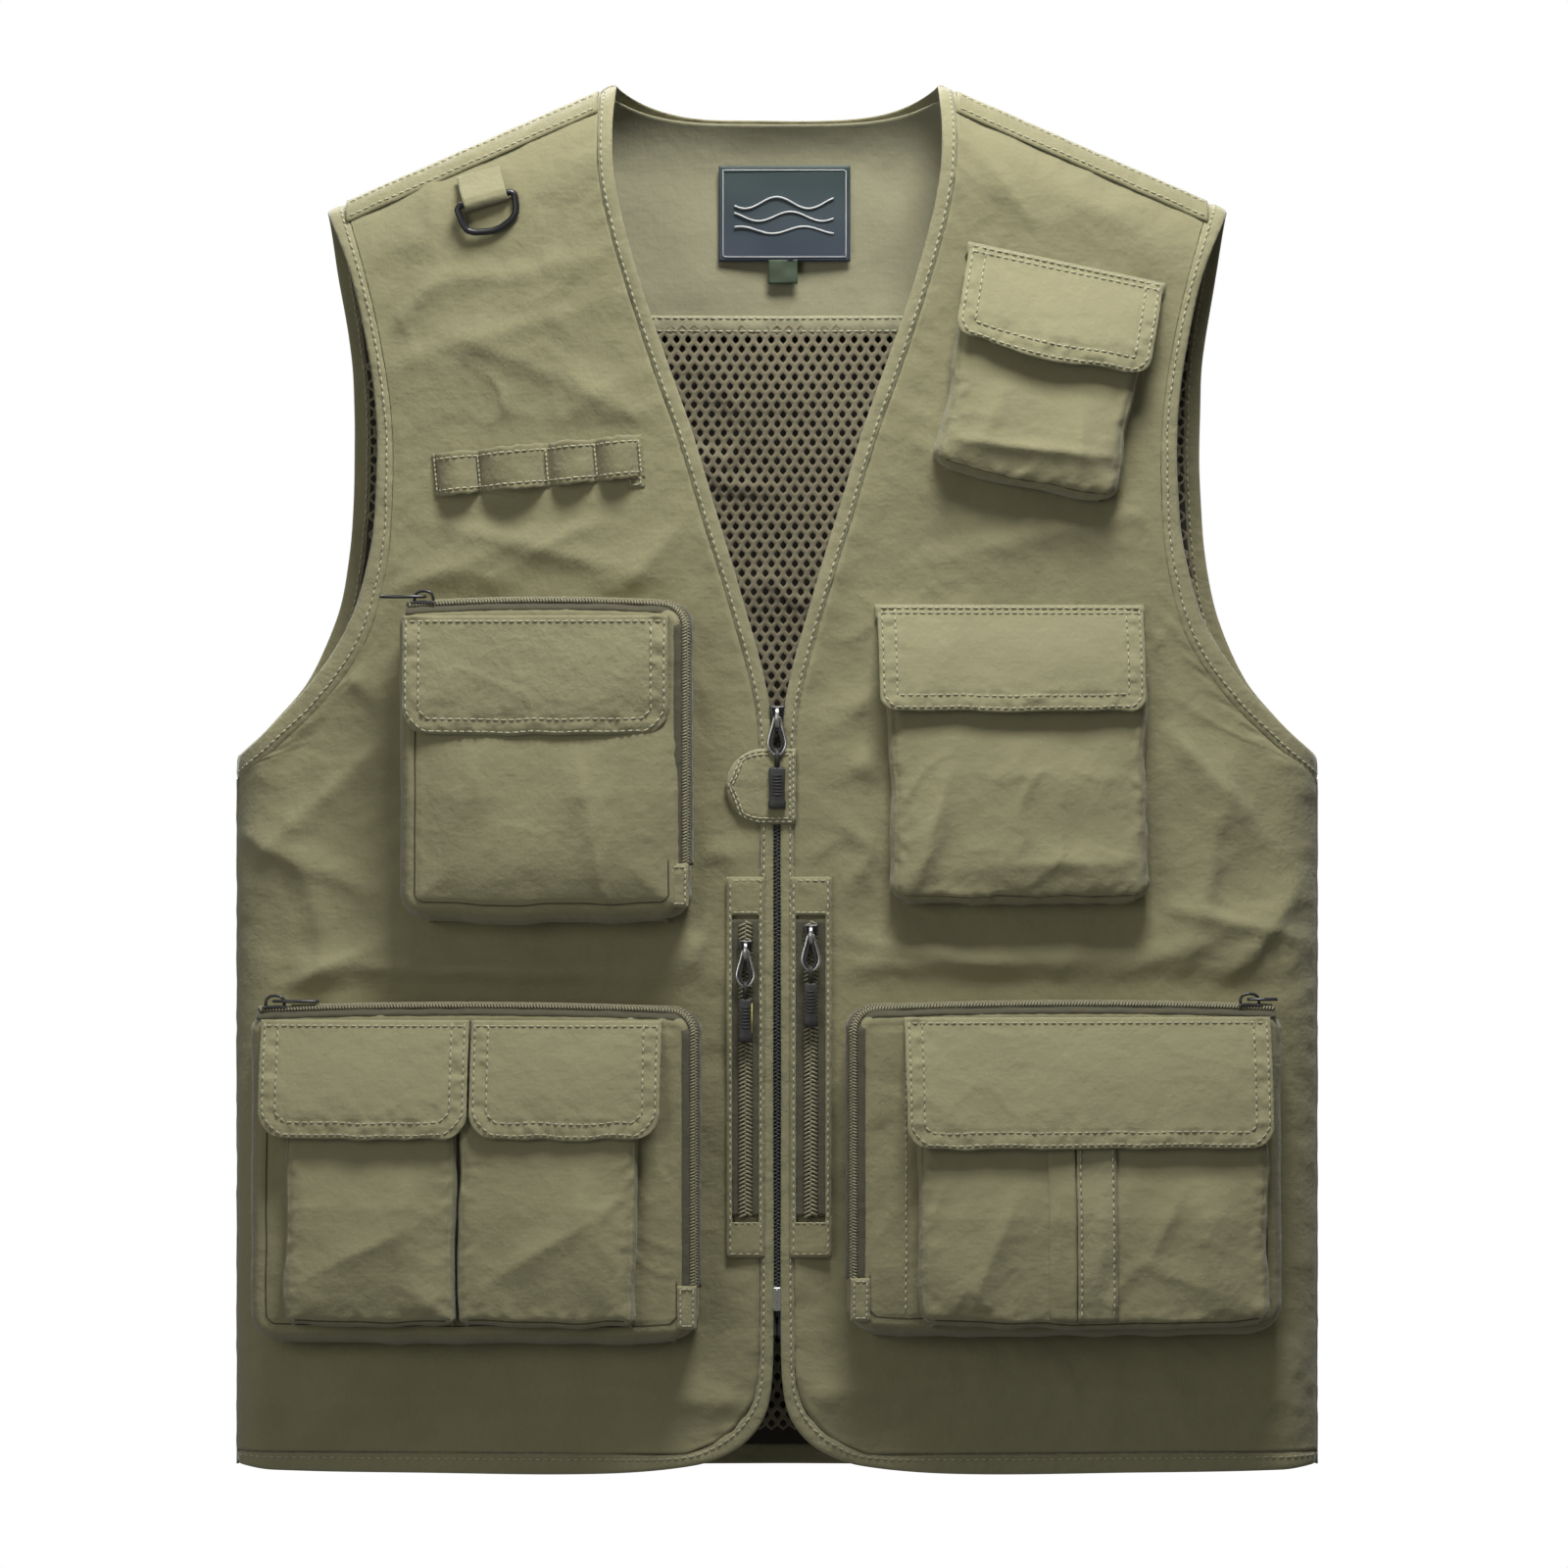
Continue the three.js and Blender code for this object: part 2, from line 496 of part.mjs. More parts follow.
function buildLeftPockets() {
  const plane = frontPlane(1);
  const u0 = along(38.5, -BOX_DEPTH);
  const u1 = along(255, -BOX_DEPTH);
  const [z0, z1] = [-632, -470];
  piece(plane, 'low_pocket_left_gusset', gusset(u0, u1, z0, z1, BOX_DEPTH), fabric(OLIVE_DARK));
  const face = plate(rectangle(u0, u1, z0, z1), SKIN - BOX_DEPTH - GAP, FACE);
  piece(plane, 'low_pocket_left_face', face, fabric());
  piece(plane, 'low_pocket_left_zip', boxZip(u0, u1, z0, z1, BOX_DEPTH, -1), fabric(OLIVE_DARK));
  slidingPull(plane, 'low_pocket_left', [u1 - 16, BOX_SLIDER_V, z1 + 2.1], lyingTowards(1),
    metal(), sliderBody(3.9, 12), wirePull(14), metal());
  const [patchFoot, patchTop, mouth, deep] = [-627, -524, 9, 16];
  const [patch0, patch1] = [along(71.5, FACE_V), along(246.5, FACE_V)];
  const patch = patchPocket(patch0, patch1, patchFoot, patchTop, FACE_V, mouth, deep);
  piece(plane, 'low_patch_left', patch, fabric());
  const strap = block(along(149.5, FACE_V), along(169.5, FACE_V), 0, 1, -625, -546);
  const strapMesh = piece(plane, 'low_strap_left', strap, fabric(OLIVE_LIGHT));
  const patchTilt = Math.atan2(deep - mouth, patchTop - patchFoot);
  const strapV = FACE_V - deep - 1.4;
  strapMesh.geometry.translate(0, 0, -patchFoot).rotateX(patchTilt).translate(0, strapV, patchFoot);
  flap(plane, 'low_flap_left', along(64, FACE_V), along(249, FACE_V), -473, 68, FACE_V, 0.24, 8);

  // The middle pocket is sewn straight to the front.
  const pocket = patchPocket(along(56, SKIN), along(187, SKIN), -413.5, -300, SKIN, 8, 18);
  piece(plane, 'mid_pocket_left', pocket, fabric());
  flap(plane, 'mid_flap_left', along(50.5, SKIN), along(185.5, SKIN), -266, 55, SKIN, 0.3, 8);
}

// The chest pocket slopes down towards the armhole with its flap.
const CHEST_SLOPE = 0.203;

function buildChestPocket() {
  const plane = frontPlane(1);
  const tilted = new THREE.Group();
  tilted.position.set(along(96.5, SKIN), 0, -82);
  tilted.rotation.y = CHEST_SLOPE;
  plane.add(tilted);
  const width = 103;
  piece(tilted, 'chest_pocket', patchPocket(4, width - 4, -113, -34, SKIN, 8, 15), fabric());
  flap(tilted, 'chest_flap', 1, width - 1, 0, 49, SKIN, 0.32, 8, 4);
}

// A ribbon of webbing sewn down at its ends and between its four loops. Each loop stands off the fabric.
function buildToolLoops() {
  const plane = frontPlane(-1);
  const tilted = new THREE.Group();
  tilted.position.set(along(-175, SKIN), 0, -188);
  tilted.rotation.y = -0.09;
  plane.add(tilted);
  const height = 22;
  const stand = 10; // how far a loop stands off the front
  const loops = [[2, 22], [24.5, 56], [60, 81.5], [84.5, 104]];
  const length = 107;
  const ribbon = plate(rectangle(0, length, -height, 0), SKIN, 2);
  const stands = loops.map(([a, b]) => block(a, b, SKIN - stand, SKIN - 0.5, -height, 0));
  const hollow = ([a, b]) => block(a + WALL, b - WALL, SKIN - stand + WALL, SKIN - WALL, -height - 1, 1);
  const hollows = loops.map(hollow);
  const raised = join(ribbon, ...stands);
  piece(tilted, 'tool_loops', carve(raised, ...hollows), fabric(OLIVE_DARK));
}

// Vertical zip pockets beside the front edges: zip, welt patches above and below, slider and pull.
function buildVerticalZips() {
  const zips = [['left', 6.5, 27.5, -432], ['right', -25.5, -6.5, -440]];
  const [top, foot] = [-424, -574];
  for (const [word, x0, x1, sliderZ] of zips) {
    const nearest = Math.min(Math.abs(x0), Math.abs(x1));
    const back = SKIN - (DEPTH - TILT * Math.hypot(nearest, RIDGE)) - 0.2;
    const middle = (x0 + x1) / 2;
    piece(vest, `side_zip_${word}`, join(
      block(x0 + 2.8, x1 - 2.8, back - 1, back, foot, top),
      block(middle - 3, middle + 3, back - 2.4, back - 0.5, foot, top),
    ), fabric(OLIVE_DARK));
    const opening = rectangle(x0 + 2.5, x1 - 2.5, foot - GAP, top + GAP);
    const welt = ring(rectangle(x0, x1, -595, -402.5), opening, back, 1.4);
    piece(vest, `side_zip_welt_${word}`, welt, fabric());
    slidingPull(vest, `side_zip_${word}`, [middle, back - 2.7, sliderZ], UPRIGHT, metal(NICKEL),
      sliderBody(3.9, 11), pullLoop(5, 18, 3.6, 22), rubber());
  }
}

function buildMainSlider() {
  slidingPull(vest, 'main', [0, FRONT_Y - 2.1, -322], UPRIGHT, metal(NICKEL), sliderBody(3.9, 12),
    pullLoop(5.2, 19, 4.2, 21), rubber());
  // A soft tab sewn to the left front covers the zip under the hanging pull.
  const tab = [
    [9.5, -337.5], [-15, -337.5], [-23, -343], [-26, -357],
    [-23, -371], [-15, -376], [9.5, -376],
  ];
  piece(vest, 'zip_tab', plate(tab, FRONT_Y - 1.9, CLOTH), fabric(OLIVE_LIGHT));
}

// A strip of fabric from the shoulder folds around the bar of a D-ring, which hangs in the fold.
function buildDRing() {
  const hung = new THREE.Group();
  hung.position.set(-148, -34, -59);
  hung.rotation.y = -0.27;
  vest.add(hung);
  const halfWidth = 11.5;
  const profile = [[-3.8, -3.8], [3.8, -3.8], [3.8, 2.5], [9, 13], [6.4, 14.5], [-1.6, 6], [-3.8, 2.5]];
  const bore = block(-halfWidth - 1, halfWidth + 1, -2.6, 2.6, -2.6, 2.6);
  const strip = carve(alongU(profile, -halfWidth, halfWidth), bore);
  piece(hung, 'd_ring_loop', strip, fabric(OLIVE_LIGHT));
  const outer = [
    [-14.5, 1.7], [14.5, 1.7], [16.5, -4], [14.5, -12.5],
    [4.5, -18.2], [-4.5, -18.2], [-14.5, -14.5], [-16.5, -4],
  ];
  const inner = [
    [-12.2, -1.7], [12.2, -1.7], [13, -4], [11.4, -10],
    [4, -14.5], [-4, -14.5], [-11.4, -12], [-13, -4],
  ];
  piece(hung, 'd_ring', ring(outer, inner, 1.7, 3.4), metal());
}

buildFronts();
buildBack();
buildLabels();
buildMainZip();
buildMainSlider();
buildVerticalZips();
buildRightPockets();
buildLeftPockets();
buildChestPocket();
buildToolLoops();
buildDRing();

export default vest;
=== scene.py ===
"""The fishing vest's looks: cloth, bindings, stitching, mesh lining, zips and fittings, laid on the CAD frame.
Sizes are in millimetres until a mesh is made, as in the CAD source; MM turns them into metres."""
import json
import math

import bmesh
import bpy
import numpy as np
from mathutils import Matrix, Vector


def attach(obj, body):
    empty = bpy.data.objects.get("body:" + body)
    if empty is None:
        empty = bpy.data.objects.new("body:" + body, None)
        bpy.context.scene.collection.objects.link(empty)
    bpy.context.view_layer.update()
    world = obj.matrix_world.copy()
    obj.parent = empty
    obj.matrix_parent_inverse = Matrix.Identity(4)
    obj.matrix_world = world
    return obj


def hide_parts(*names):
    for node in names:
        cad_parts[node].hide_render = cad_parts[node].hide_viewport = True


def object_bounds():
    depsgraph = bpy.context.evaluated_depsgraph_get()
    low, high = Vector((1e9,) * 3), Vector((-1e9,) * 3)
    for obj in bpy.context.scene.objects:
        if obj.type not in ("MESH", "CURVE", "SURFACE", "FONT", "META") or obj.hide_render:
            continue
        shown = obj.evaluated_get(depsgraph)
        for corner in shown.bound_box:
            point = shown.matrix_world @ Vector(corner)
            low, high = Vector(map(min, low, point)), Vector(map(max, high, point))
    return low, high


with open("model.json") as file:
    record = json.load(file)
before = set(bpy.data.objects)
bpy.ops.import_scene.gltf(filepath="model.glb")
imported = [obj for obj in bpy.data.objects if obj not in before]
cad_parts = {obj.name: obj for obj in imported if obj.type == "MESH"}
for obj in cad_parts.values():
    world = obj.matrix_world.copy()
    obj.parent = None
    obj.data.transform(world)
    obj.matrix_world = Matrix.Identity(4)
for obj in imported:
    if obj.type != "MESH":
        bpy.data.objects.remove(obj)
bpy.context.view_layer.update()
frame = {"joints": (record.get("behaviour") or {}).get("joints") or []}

MM = 0.001
FRONT, BACK = -1, 1
SIDE_SEAM_TOP = -354
SIDES = {"left": 1, "right": -1}  # the wearer's own sides, as signs of X

# The form of the vest, as in the CAD: two flattened shells that meet at the side seams and shoulder lines.
HALF_WIDTH = 274
DEPTH = 44
TILT = 0.1
RIDGE = 15
SIDE_ROUND = 18
TOP_ROUND = 45
NECK_HALF = 82
SHOULDER_SLOPE = 0.44
NECK_DROP = 15.5
CLOTH = 1.2
LINING_LIFT = -3.4
SHELL_THICK = 0.9
BINDING_THICK = 1.0
LINING_THICK = 0.5
HEM_Z = -694.8
LEAST_FLAT = 10.5  # the shortest side that a sheet's flat size is taken as
TILT_ANGLE = math.atan(TILT)


# ---------------------------------------------------------------- form, noise and curves
def quarter_round(t):
    return np.sqrt(np.clip(1 - (1 - np.clip(t, 0, 1)) ** 2, 0, 1))


def shoulder_z(x):
    return -SHOULDER_SLOPE * np.maximum(np.abs(x) - NECK_HALF, 0)


def on_form(x, z, lift, face):
    """Points of the form at x and z, lifted off it by lift, on its front or back."""
    x, z, lift = np.broadcast_arrays(np.asarray(x, float), z, lift)
    inward = np.clip((shoulder_z(x) - z) / TOP_ROUND, 0, 1)
    px = x * (1 + lift / HALF_WIDTH)
    pz = z + lift * (1 - inward)
    flat = DEPTH + lift - TILT * np.hypot(px, RIDGE)
    side = quarter_round((HALF_WIDTH + lift - np.abs(px)) / (SIDE_ROUND + lift))
    top = quarter_round((shoulder_z(px) + lift - pz) / (TOP_ROUND + lift))
    return np.stack([px, face * (flat * side * top + 0.15), pz], -1)


def noise(u, v, seed):
    """Smooth repeatable noise between -1 and 1 with a cell of 1."""
    u, v = np.broadcast_arrays(np.asarray(u, float), v)
    iu, iv = np.floor(u), np.floor(v)
    fu, fv = u - iu, v - iv
    fu, fv = fu * fu * (3 - 2 * fu), fv * fv * (3 - 2 * fv)

    def lattice(a, b):
        h = np.sin(a * 127.1 + b * 311.7 + seed * 74.7) * 43758.5453
        return (h - np.floor(h)) * 2 - 1

    near = lattice(iu, iv) * (1 - fu) + lattice(iu + 1, iv) * fu
    far = lattice(iu, iv + 1) * (1 - fu) + lattice(iu + 1, iv + 1) * fu
    return near * (1 - fv) + far * fv


def spline(keys, step):
    """A smooth curve through key points, or rows of points: its samples and their places along it."""
    keys = np.asarray(keys, float)
    legs = np.diff(keys, axis=0).reshape(len(keys) - 1, -1, keys.shape[-1])
    t = np.concatenate([[0], np.cumsum(np.linalg.norm(legs, axis=-1).mean(axis=-1))])
    slopes = np.empty_like(keys)
    spans = (t[2:] - t[:-2]).reshape(-1, *[1] * (keys.ndim - 1))
    slopes[1:-1] = (keys[2:] - keys[:-2]) / spans
    slopes[0] = (keys[1] - keys[0]) / (t[1] - t[0])
    slopes[-1] = (keys[-1] - keys[-2]) / (t[-1] - t[-2])
    s = np.linspace(0, t[-1], max(2, int(round(t[-1] / step)) + 1))
    i = np.clip(np.searchsorted(t, s, side="right") - 1, 0, len(t) - 2)
    shape = (-1, *[1] * (keys.ndim - 1))
    h = (t[i + 1] - t[i]).reshape(shape)
    q = ((s - t[i]) / (t[i + 1] - t[i])).reshape(shape)
    curve = (
        (1 + 2 * q) * (1 - q) ** 2 * keys[i]
        + q * (1 - q) ** 2 * h * slopes[i]
        + q * q * (3 - 2 * q) * keys[i + 1]
        + q * q * (q - 1) * h * slopes[i + 1]
    )
    return curve, s


def along(points):
    """Distance along a polyline at each of its points."""
    return np.concatenate([[0], np.cumsum(np.linalg.norm(np.diff(points, axis=0), axis=1))])


def resampled(points, step):
    s = along(points)
    places = np.linspace(0, s[-1], max(2, int(round(s[-1] / step)) + 1))
    return np.stack([np.interp(places, s, points[:, k]) for k in range(points.shape[1])], -1)


# ---------------------------------------------------------------- materials
def new_material(name):
    material = bpy.data.materials.new(name)
    material.use_nodes = True
    return material, material.node_tree.nodes, material.node_tree.links


def ramp_between(nodes, links, source, low, high):
    """A colour that goes from low to high as source goes from 0 to 1."""
    mix = nodes.new("ShaderNodeMix")
    mix.data_type = "RGBA"
    mix.inputs["A"].default_value = (*low, 1)
    mix.inputs["B"].default_value = (*high, 1)
    links.new(source, mix.inputs["Factor"])
    return mix.outputs["Result"]


def noise_node(nodes, links, coordinates, size_mm, detail=3.0, rough=0.55):
    node = nodes.new("ShaderNodeTexNoise")
    node.inputs["Scale"].default_value = 1 / (size_mm * MM)
    node.inputs["Detail"].default_value = detail
    node.inputs["Roughness"].default_value = rough
    links.new(coordinates, node.inputs["Vector"])
    return node.outputs["Fac"]


def thread_node(nodes, links, coordinates, axis, pitch_mm):
    node = nodes.new("ShaderNodeTexWave")
    node.wave_type = "BANDS"
    node.bands_direction = axis
    node.inputs["Scale"].default_value = 2 * math.pi / (20 * pitch_mm * MM)
    node.inputs["Distortion"].default_value = 1.2
    node.inputs["Detail"].default_value = 1.0
    links.new(coordinates, node.inputs["Vector"])
    return node.outputs["Fac"]


def maths(nodes, links, operation, a, b):
    node = nodes.new("ShaderNodeMath")
    node.operation = operation
    for socket, value in zip(node.inputs, (a, b)):
        if hasattr(value, "links"):
            links.new(value, socket)
        else:
            socket.default_value = value
    return node.outputs["Value"]


def cloth_material(name, color, pitch=0.62, crinkle=1.0, sheen=0.25):
    """Woven cotton and polyester: threads both ways, slubs, crinkles, washed-out patches and a soft sheen."""
    material, nodes, links = new_material(name)
    shader = nodes["Principled BSDF"]
    place = nodes.new("ShaderNodeTexCoord").outputs["Object"]
    warp = thread_node(nodes, links, place, "X", pitch)
    weft = thread_node(nodes, links, place, "Z", pitch)
    weave = maths(nodes, links, "MULTIPLY", warp, weft)
    patches = noise_node(nodes, links, place, 55, 4)
    slubs = noise_node(nodes, links, place, 2.2, 5, 0.7)
    tone = maths(nodes, links, "ADD", maths(nodes, links, "MULTIPLY", patches, 0.55),
                 maths(nodes, links, "MULTIPLY", slubs, 0.30))
    tone = maths(nodes, links, "ADD", tone, maths(nodes, links, "MULTIPLY", weave, 0.15))
    dark = [c * 0.76 for c in color]
    light = [c * 1.22 for c in color]
    links.new(ramp_between(nodes, links, tone, dark, light), shader.inputs["Base Color"])
    rough = maths(nodes, links, "ADD", maths(nodes, links, "MULTIPLY", slubs, 0.16), 0.78)
    links.new(rough, shader.inputs["Roughness"])
    fine = nodes.new("ShaderNodeBump")
    fine.inputs["Strength"].default_value = 0.35
    fine.inputs["Distance"].default_value = 0.12 * MM
    links.new(weave, fine.inputs["Height"])
    soft = nodes.new("ShaderNodeBump")
    soft.inputs["Strength"].default_value = 0.75 * crinkle
    soft.inputs["Distance"].default_value = 0.8 * MM
    links.new(noise_node(nodes, links, place, 5, 4, 0.6), soft.inputs["Height"])
    links.new(fine.outputs["Normal"], soft.inputs["Normal"])
    broad = nodes.new("ShaderNodeBump")
    broad.inputs["Strength"].default_value = 0.7 * crinkle
    broad.inputs["Distance"].default_value = 1.8 * MM
    links.new(noise_node(nodes, links, place, 17, 3, 0.5), broad.inputs["Height"])
    links.new(soft.outputs["Normal"], broad.inputs["Normal"])
    links.new(broad.outputs["Normal"], shader.inputs["Normal"])
    shader.inputs["Sheen Weight"].default_value = sheen
    shader.inputs["Sheen Roughness"].default_value = 0.6
    shader.inputs["Specular IOR Level"].default_value = 0.25
    return material


def hard_material(name, color, metallic, roughness, worn, grain_mm=1.2, wear=0.35):
    """Metal, nylon or rubber: fine grain, uneven polish, and edges rubbed towards a lighter colour."""
    material, nodes, links = new_material(name)
    shader = nodes["Principled BSDF"]
    place = nodes.new("ShaderNodeTexCoord").outputs["Object"]
    grain = noise_node(nodes, links, place, grain_mm, 5, 0.65)
    smudge = noise_node(nodes, links, place, 9, 3)
    edge = nodes.new("ShaderNodeNewGeometry").outputs["Pointiness"]
    rubbed = nodes.new("ShaderNodeMapRange")
    rubbed.inputs["From Min"].default_value = 0.52
    rubbed.inputs["From Max"].default_value = 0.62
    rubbed.inputs["To Max"].default_value = wear
    links.new(edge, rubbed.inputs["Value"])
    tone = maths(nodes, links, "ADD", rubbed.outputs["Result"], maths(nodes, links, "MULTIPLY", grain, 0.12))
    links.new(ramp_between(nodes, links, tone, color, worn), shader.inputs["Base Color"])
    rough = maths(nodes, links, "ADD", maths(nodes, links, "MULTIPLY", smudge, 0.22), roughness)
    links.new(rough, shader.inputs["Roughness"])
    bump = nodes.new("ShaderNodeBump")
    bump.inputs["Strength"].default_value = 0.25
    bump.inputs["Distance"].default_value = 0.08 * MM
    links.new(grain, bump.inputs["Height"])
    links.new(bump.outputs["Normal"], shader.inputs["Normal"])
    shader.inputs["Metallic"].default_value = metallic
    return material


def label_material(name, top, foot, low_z, high_z):
    """A woven label: one colour running into another from top to foot, with fine light threads across."""
    material, nodes, links = new_material(name)
    shader = nodes["Principled BSDF"]
    place = nodes.new("ShaderNodeTexCoord").outputs["Object"]
    split = nodes.new("ShaderNodeSeparateXYZ")
    links.new(place, split.inputs["Vector"])
    height = nodes.new("ShaderNodeMapRange")
    height.inputs["From Min"].default_value = low_z
    height.inputs["From Max"].default_value = high_z
    links.new(split.outputs["Z"], height.inputs["Value"])
    ground = ramp_between(nodes, links, height.outputs["Result"], foot, top)
    satin = thread_node(nodes, links, place, "Z", 0.5)
    mix = nodes.new("ShaderNodeMix")
    mix.data_type = "RGBA"
    mix.inputs["B"].default_value = (0.3, 0.3, 0.3, 1)
    links.new(ground, mix.inputs["A"])
    links.new(maths(nodes, links, "MULTIPLY", satin, 0.10), mix.inputs["Factor"])
    links.new(mix.outputs["Result"], shader.inputs["Base Color"])
    bump = nodes.new("ShaderNodeBump")
    bump.inputs["Strength"].default_value = 0.3
    bump.inputs["Distance"].default_value = 0.08 * MM
    links.new(satin, bump.inputs["Height"])
    links.new(bump.outputs["Normal"], shader.inputs["Normal"])
    rough = maths(nodes, links, "ADD", maths(nodes, links, "MULTIPLY", satin, 0.2), 0.45)
    links.new(rough, shader.inputs["Roughness"])
    return material


OLIVE = (0.262, 0.244, 0.130)
SHELL = cloth_material("shell_cloth", OLIVE)
BINDING = cloth_material("binding_cloth", (0.280, 0.262, 0.145), pitch=0.55, crinkle=1.3)
# A lighter copy of the shell cloth: painted light on the flaps, which lean up towards the lamp.
FLAP_CLOTH_LIT = cloth_material("flap_cloth_painted_light", (0.290, 0.272, 0.150))
# A darker copy of the shell cloth: painted shade, on the pockets' side walls and on the tool loops.
GUSSET_SHADE = cloth_material("gusset_cloth", (0.235, 0.218, 0.115), crinkle=1.2)
LINING = cloth_material("lining_cloth", (0.30, 0.285, 0.175), crinkle=0.7)
KNIT = cloth_material("mesh_knit", (0.20, 0.175, 0.105), pitch=0.45, crinkle=0.4)
# Near-black cloth for the sheets' inner faces: painted shade for the inside of the vest, whose cloth is the
# same olive.
INSIDE_SHADE = cloth_material("inner_cloth_painted_shade", (0.040, 0.032, 0.020), crinkle=0.6)
THREAD = cloth_material("thread", (0.42, 0.40, 0.26), pitch=0.3, crinkle=0.3, sheen=0.4)
TAPE = cloth_material("zip_tape_olive", (0.085, 0.078, 0.045), pitch=0.9)
BLACK_TAPE = cloth_material("zip_tape_black", (0.030, 0.030, 0.030), pitch=0.5)
COIL = hard_material("coil_olive", (0.20, 0.185, 0.11), 0.0, 0.35, (0.32, 0.30, 0.2), 0.8)
BLACK_COIL = hard_material("coil_black", (0.016, 0.016, 0.015), 0.0, 0.32, (0.10, 0.10, 0.09), 0.8)
BLACK_METAL = hard_material("black_metal", (0.020, 0.020, 0.022), 0.7, 0.22, (0.22, 0.22, 0.22))
NICKEL = hard_material("nickel", (0.52, 0.51, 0.49), 1.0, 0.16, (0.80, 0.79, 0.76), wear=0.7)
# A dark cloth for thin tubes along sunk seams: painted shadow of the seams' valleys.
SEAM_SHADOW = cloth_material("seam_shadow", (0.085, 0.076, 0.040), pitch=0.3, crinkle=0.4, sheen=0.1)
RUBBER = hard_material("rubber", (0.018, 0.018, 0.016), 0.0, 0.48, (0.07, 0.07, 0.06), 0.7)
PIPING = hard_material("yellow_edge", (0.42, 0.38, 0.06), 0.0, 0.5, (0.6, 0.55, 0.15), 0.7)


# ---------------------------------------------------------------- meshes
def put(name, data):
    """Adds an object with that data to the scene."""
    made = bpy.data.objects.new(name, data)
    bpy.context.scene.collection.objects.link(made)
    return made


def make_object(name, points, faces, material, smooth=True):
    mesh = bpy.data.meshes.new(name)
    mesh.from_pydata((np.asarray(points) * MM).tolist(), [], [tuple(map(int, f)) for f in faces])
    if smooth:
        mesh.shade_smooth()
    mesh.materials.append(material)
    return put(name, mesh)


def grid_faces(rows, cols):
    i, j = np.meshgrid(np.arange(rows - 1), np.arange(cols - 1), indexing="ij")
    a = (i * cols + j).ravel()
    return np.stack([a, a + 1, a + cols + 1, a + cols], -1)


def grid_normals(grid):
    """Unit normals of a grid, towards a viewer who sees its rows run down and its columns to the right."""
    down = np.gradient(grid, axis=0)
    right = np.gradient(grid, axis=1)
    n = np.cross(right, down)
    return n / np.maximum(np.linalg.norm(n, axis=-1, keepdims=True), 1e-9)


def thick_sheet(name, grid, material, thickness, outward, inner_material=None):
    """A closed sheet of cloth from a grid of points on its outer face. outward is a rough outward direction."""
    rows, cols = grid.shape[:2]
    normals = grid_normals(grid)
    if np.sum(normals * np.asarray(outward)) < 0:
        normals = -normals
    inner = grid - normals * thickness
    points = np.concatenate([grid.reshape(-1, 3), inner.reshape(-1, 3)])
    top = grid_faces(rows, cols)
    under = top[:, ::-1] + rows * cols
    rim = np.concatenate([
        np.arange(cols), np.arange(1, rows) * cols + cols - 1,
        (rows - 1) * cols + np.arange(cols - 2, -1, -1), np.arange(rows - 2, 0, -1) * cols,
    ])
    nxt = np.roll(rim, -1)
    walls = np.stack([nxt, rim, rim + rows * cols, nxt + rows * cols], -1)
    faces = np.concatenate([top, under, walls])
    made = make_object(name, points, faces, material)
    # The inner face can take its own cloth; the near-black inside cloth put there is painted shade.
    if inner_material is not None:
        made.data.materials.append(inner_material)
        index = np.zeros(len(faces), np.int32)
        index[len(top):len(top) + len(under)] = 1
        made.data.polygons.foreach_set("material_index", index)
    fix_normals(made)
    return made


def fix_normals(made):
    work = bmesh.new()
    work.from_mesh(made.data)
    bmesh.ops.recalc_face_normals(work, faces=work.faces)
    work.to_mesh(made.data)
    work.free()


def declare_cloth(grid):
    """Works out the flat size that a sheet's grid was cut to; nothing keeps it."""
    width = max(along(row)[-1] for row in grid[:: max(1, len(grid) // 12)])
    length = max(along(grid[:, j])[-1] for j in range(0, grid.shape[1], max(1, grid.shape[1] // 12)))
    width, length = max(width, LEAST_FLAT), max(length, LEAST_FLAT)


def dress(made, slot, *nodes, body="vest", cloth=None):
    """Puts a piece on its body and hides the CAD nodes it stands for. Its finish (slot) is not used, and its
    grid, if it is cloth, is only measured.
    """
    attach(made, body)
    if nodes:
        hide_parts(*nodes)
    if cloth is not None:
        declare_cloth(cloth)


def loft_faces(rings, sides, closed=False):
    """Faces of a skin over rings of points: a loop of rings when closed, else with a cap at each end."""
    i, k = np.meshgrid(np.arange(rings if closed else rings - 1), np.arange(sides), indexing="ij")
    after, beside = (i + 1) % rings, (k + 1) % sides
    quads = np.stack([i * sides + k, i * sides + beside, after * sides + beside, after * sides + k], -1)
    faces = [tuple(quad) for quad in quads.reshape(-1, 4).tolist()]
    if not closed:
        faces += [tuple(range(sides))[::-1], tuple(range((rings - 1) * sides, rings * sides))]
    return faces


def tube(path, radius, sides=8, closed=False):
    """Points and faces of a round tube along a path."""
    path = np.asarray(path, float)
    n = len(path)
    if closed:
        tangent = np.roll(path, -1, 0) - np.roll(path, 1, 0)
    else:
        tangent = np.gradient(path, axis=0)
    tangent /= np.linalg.norm(tangent, axis=1, keepdims=True)
    side = np.cross(tangent, (0.13, 0.97, 0.21))
    side /= np.linalg.norm(side, axis=1, keepdims=True)
    up = np.cross(side, tangent)
    turn = np.arange(sides) * 2 * math.pi / sides
    radius = np.broadcast_to(np.asarray(radius, float), n)
    ring = side[:, None] * np.cos(turn)[:, None] + up[:, None] * np.sin(turn)[:, None]
    points = (path[:, None] + ring * radius[:, None, None]).reshape(-1, 3)
    return points, loft_faces(n, sides, closed)


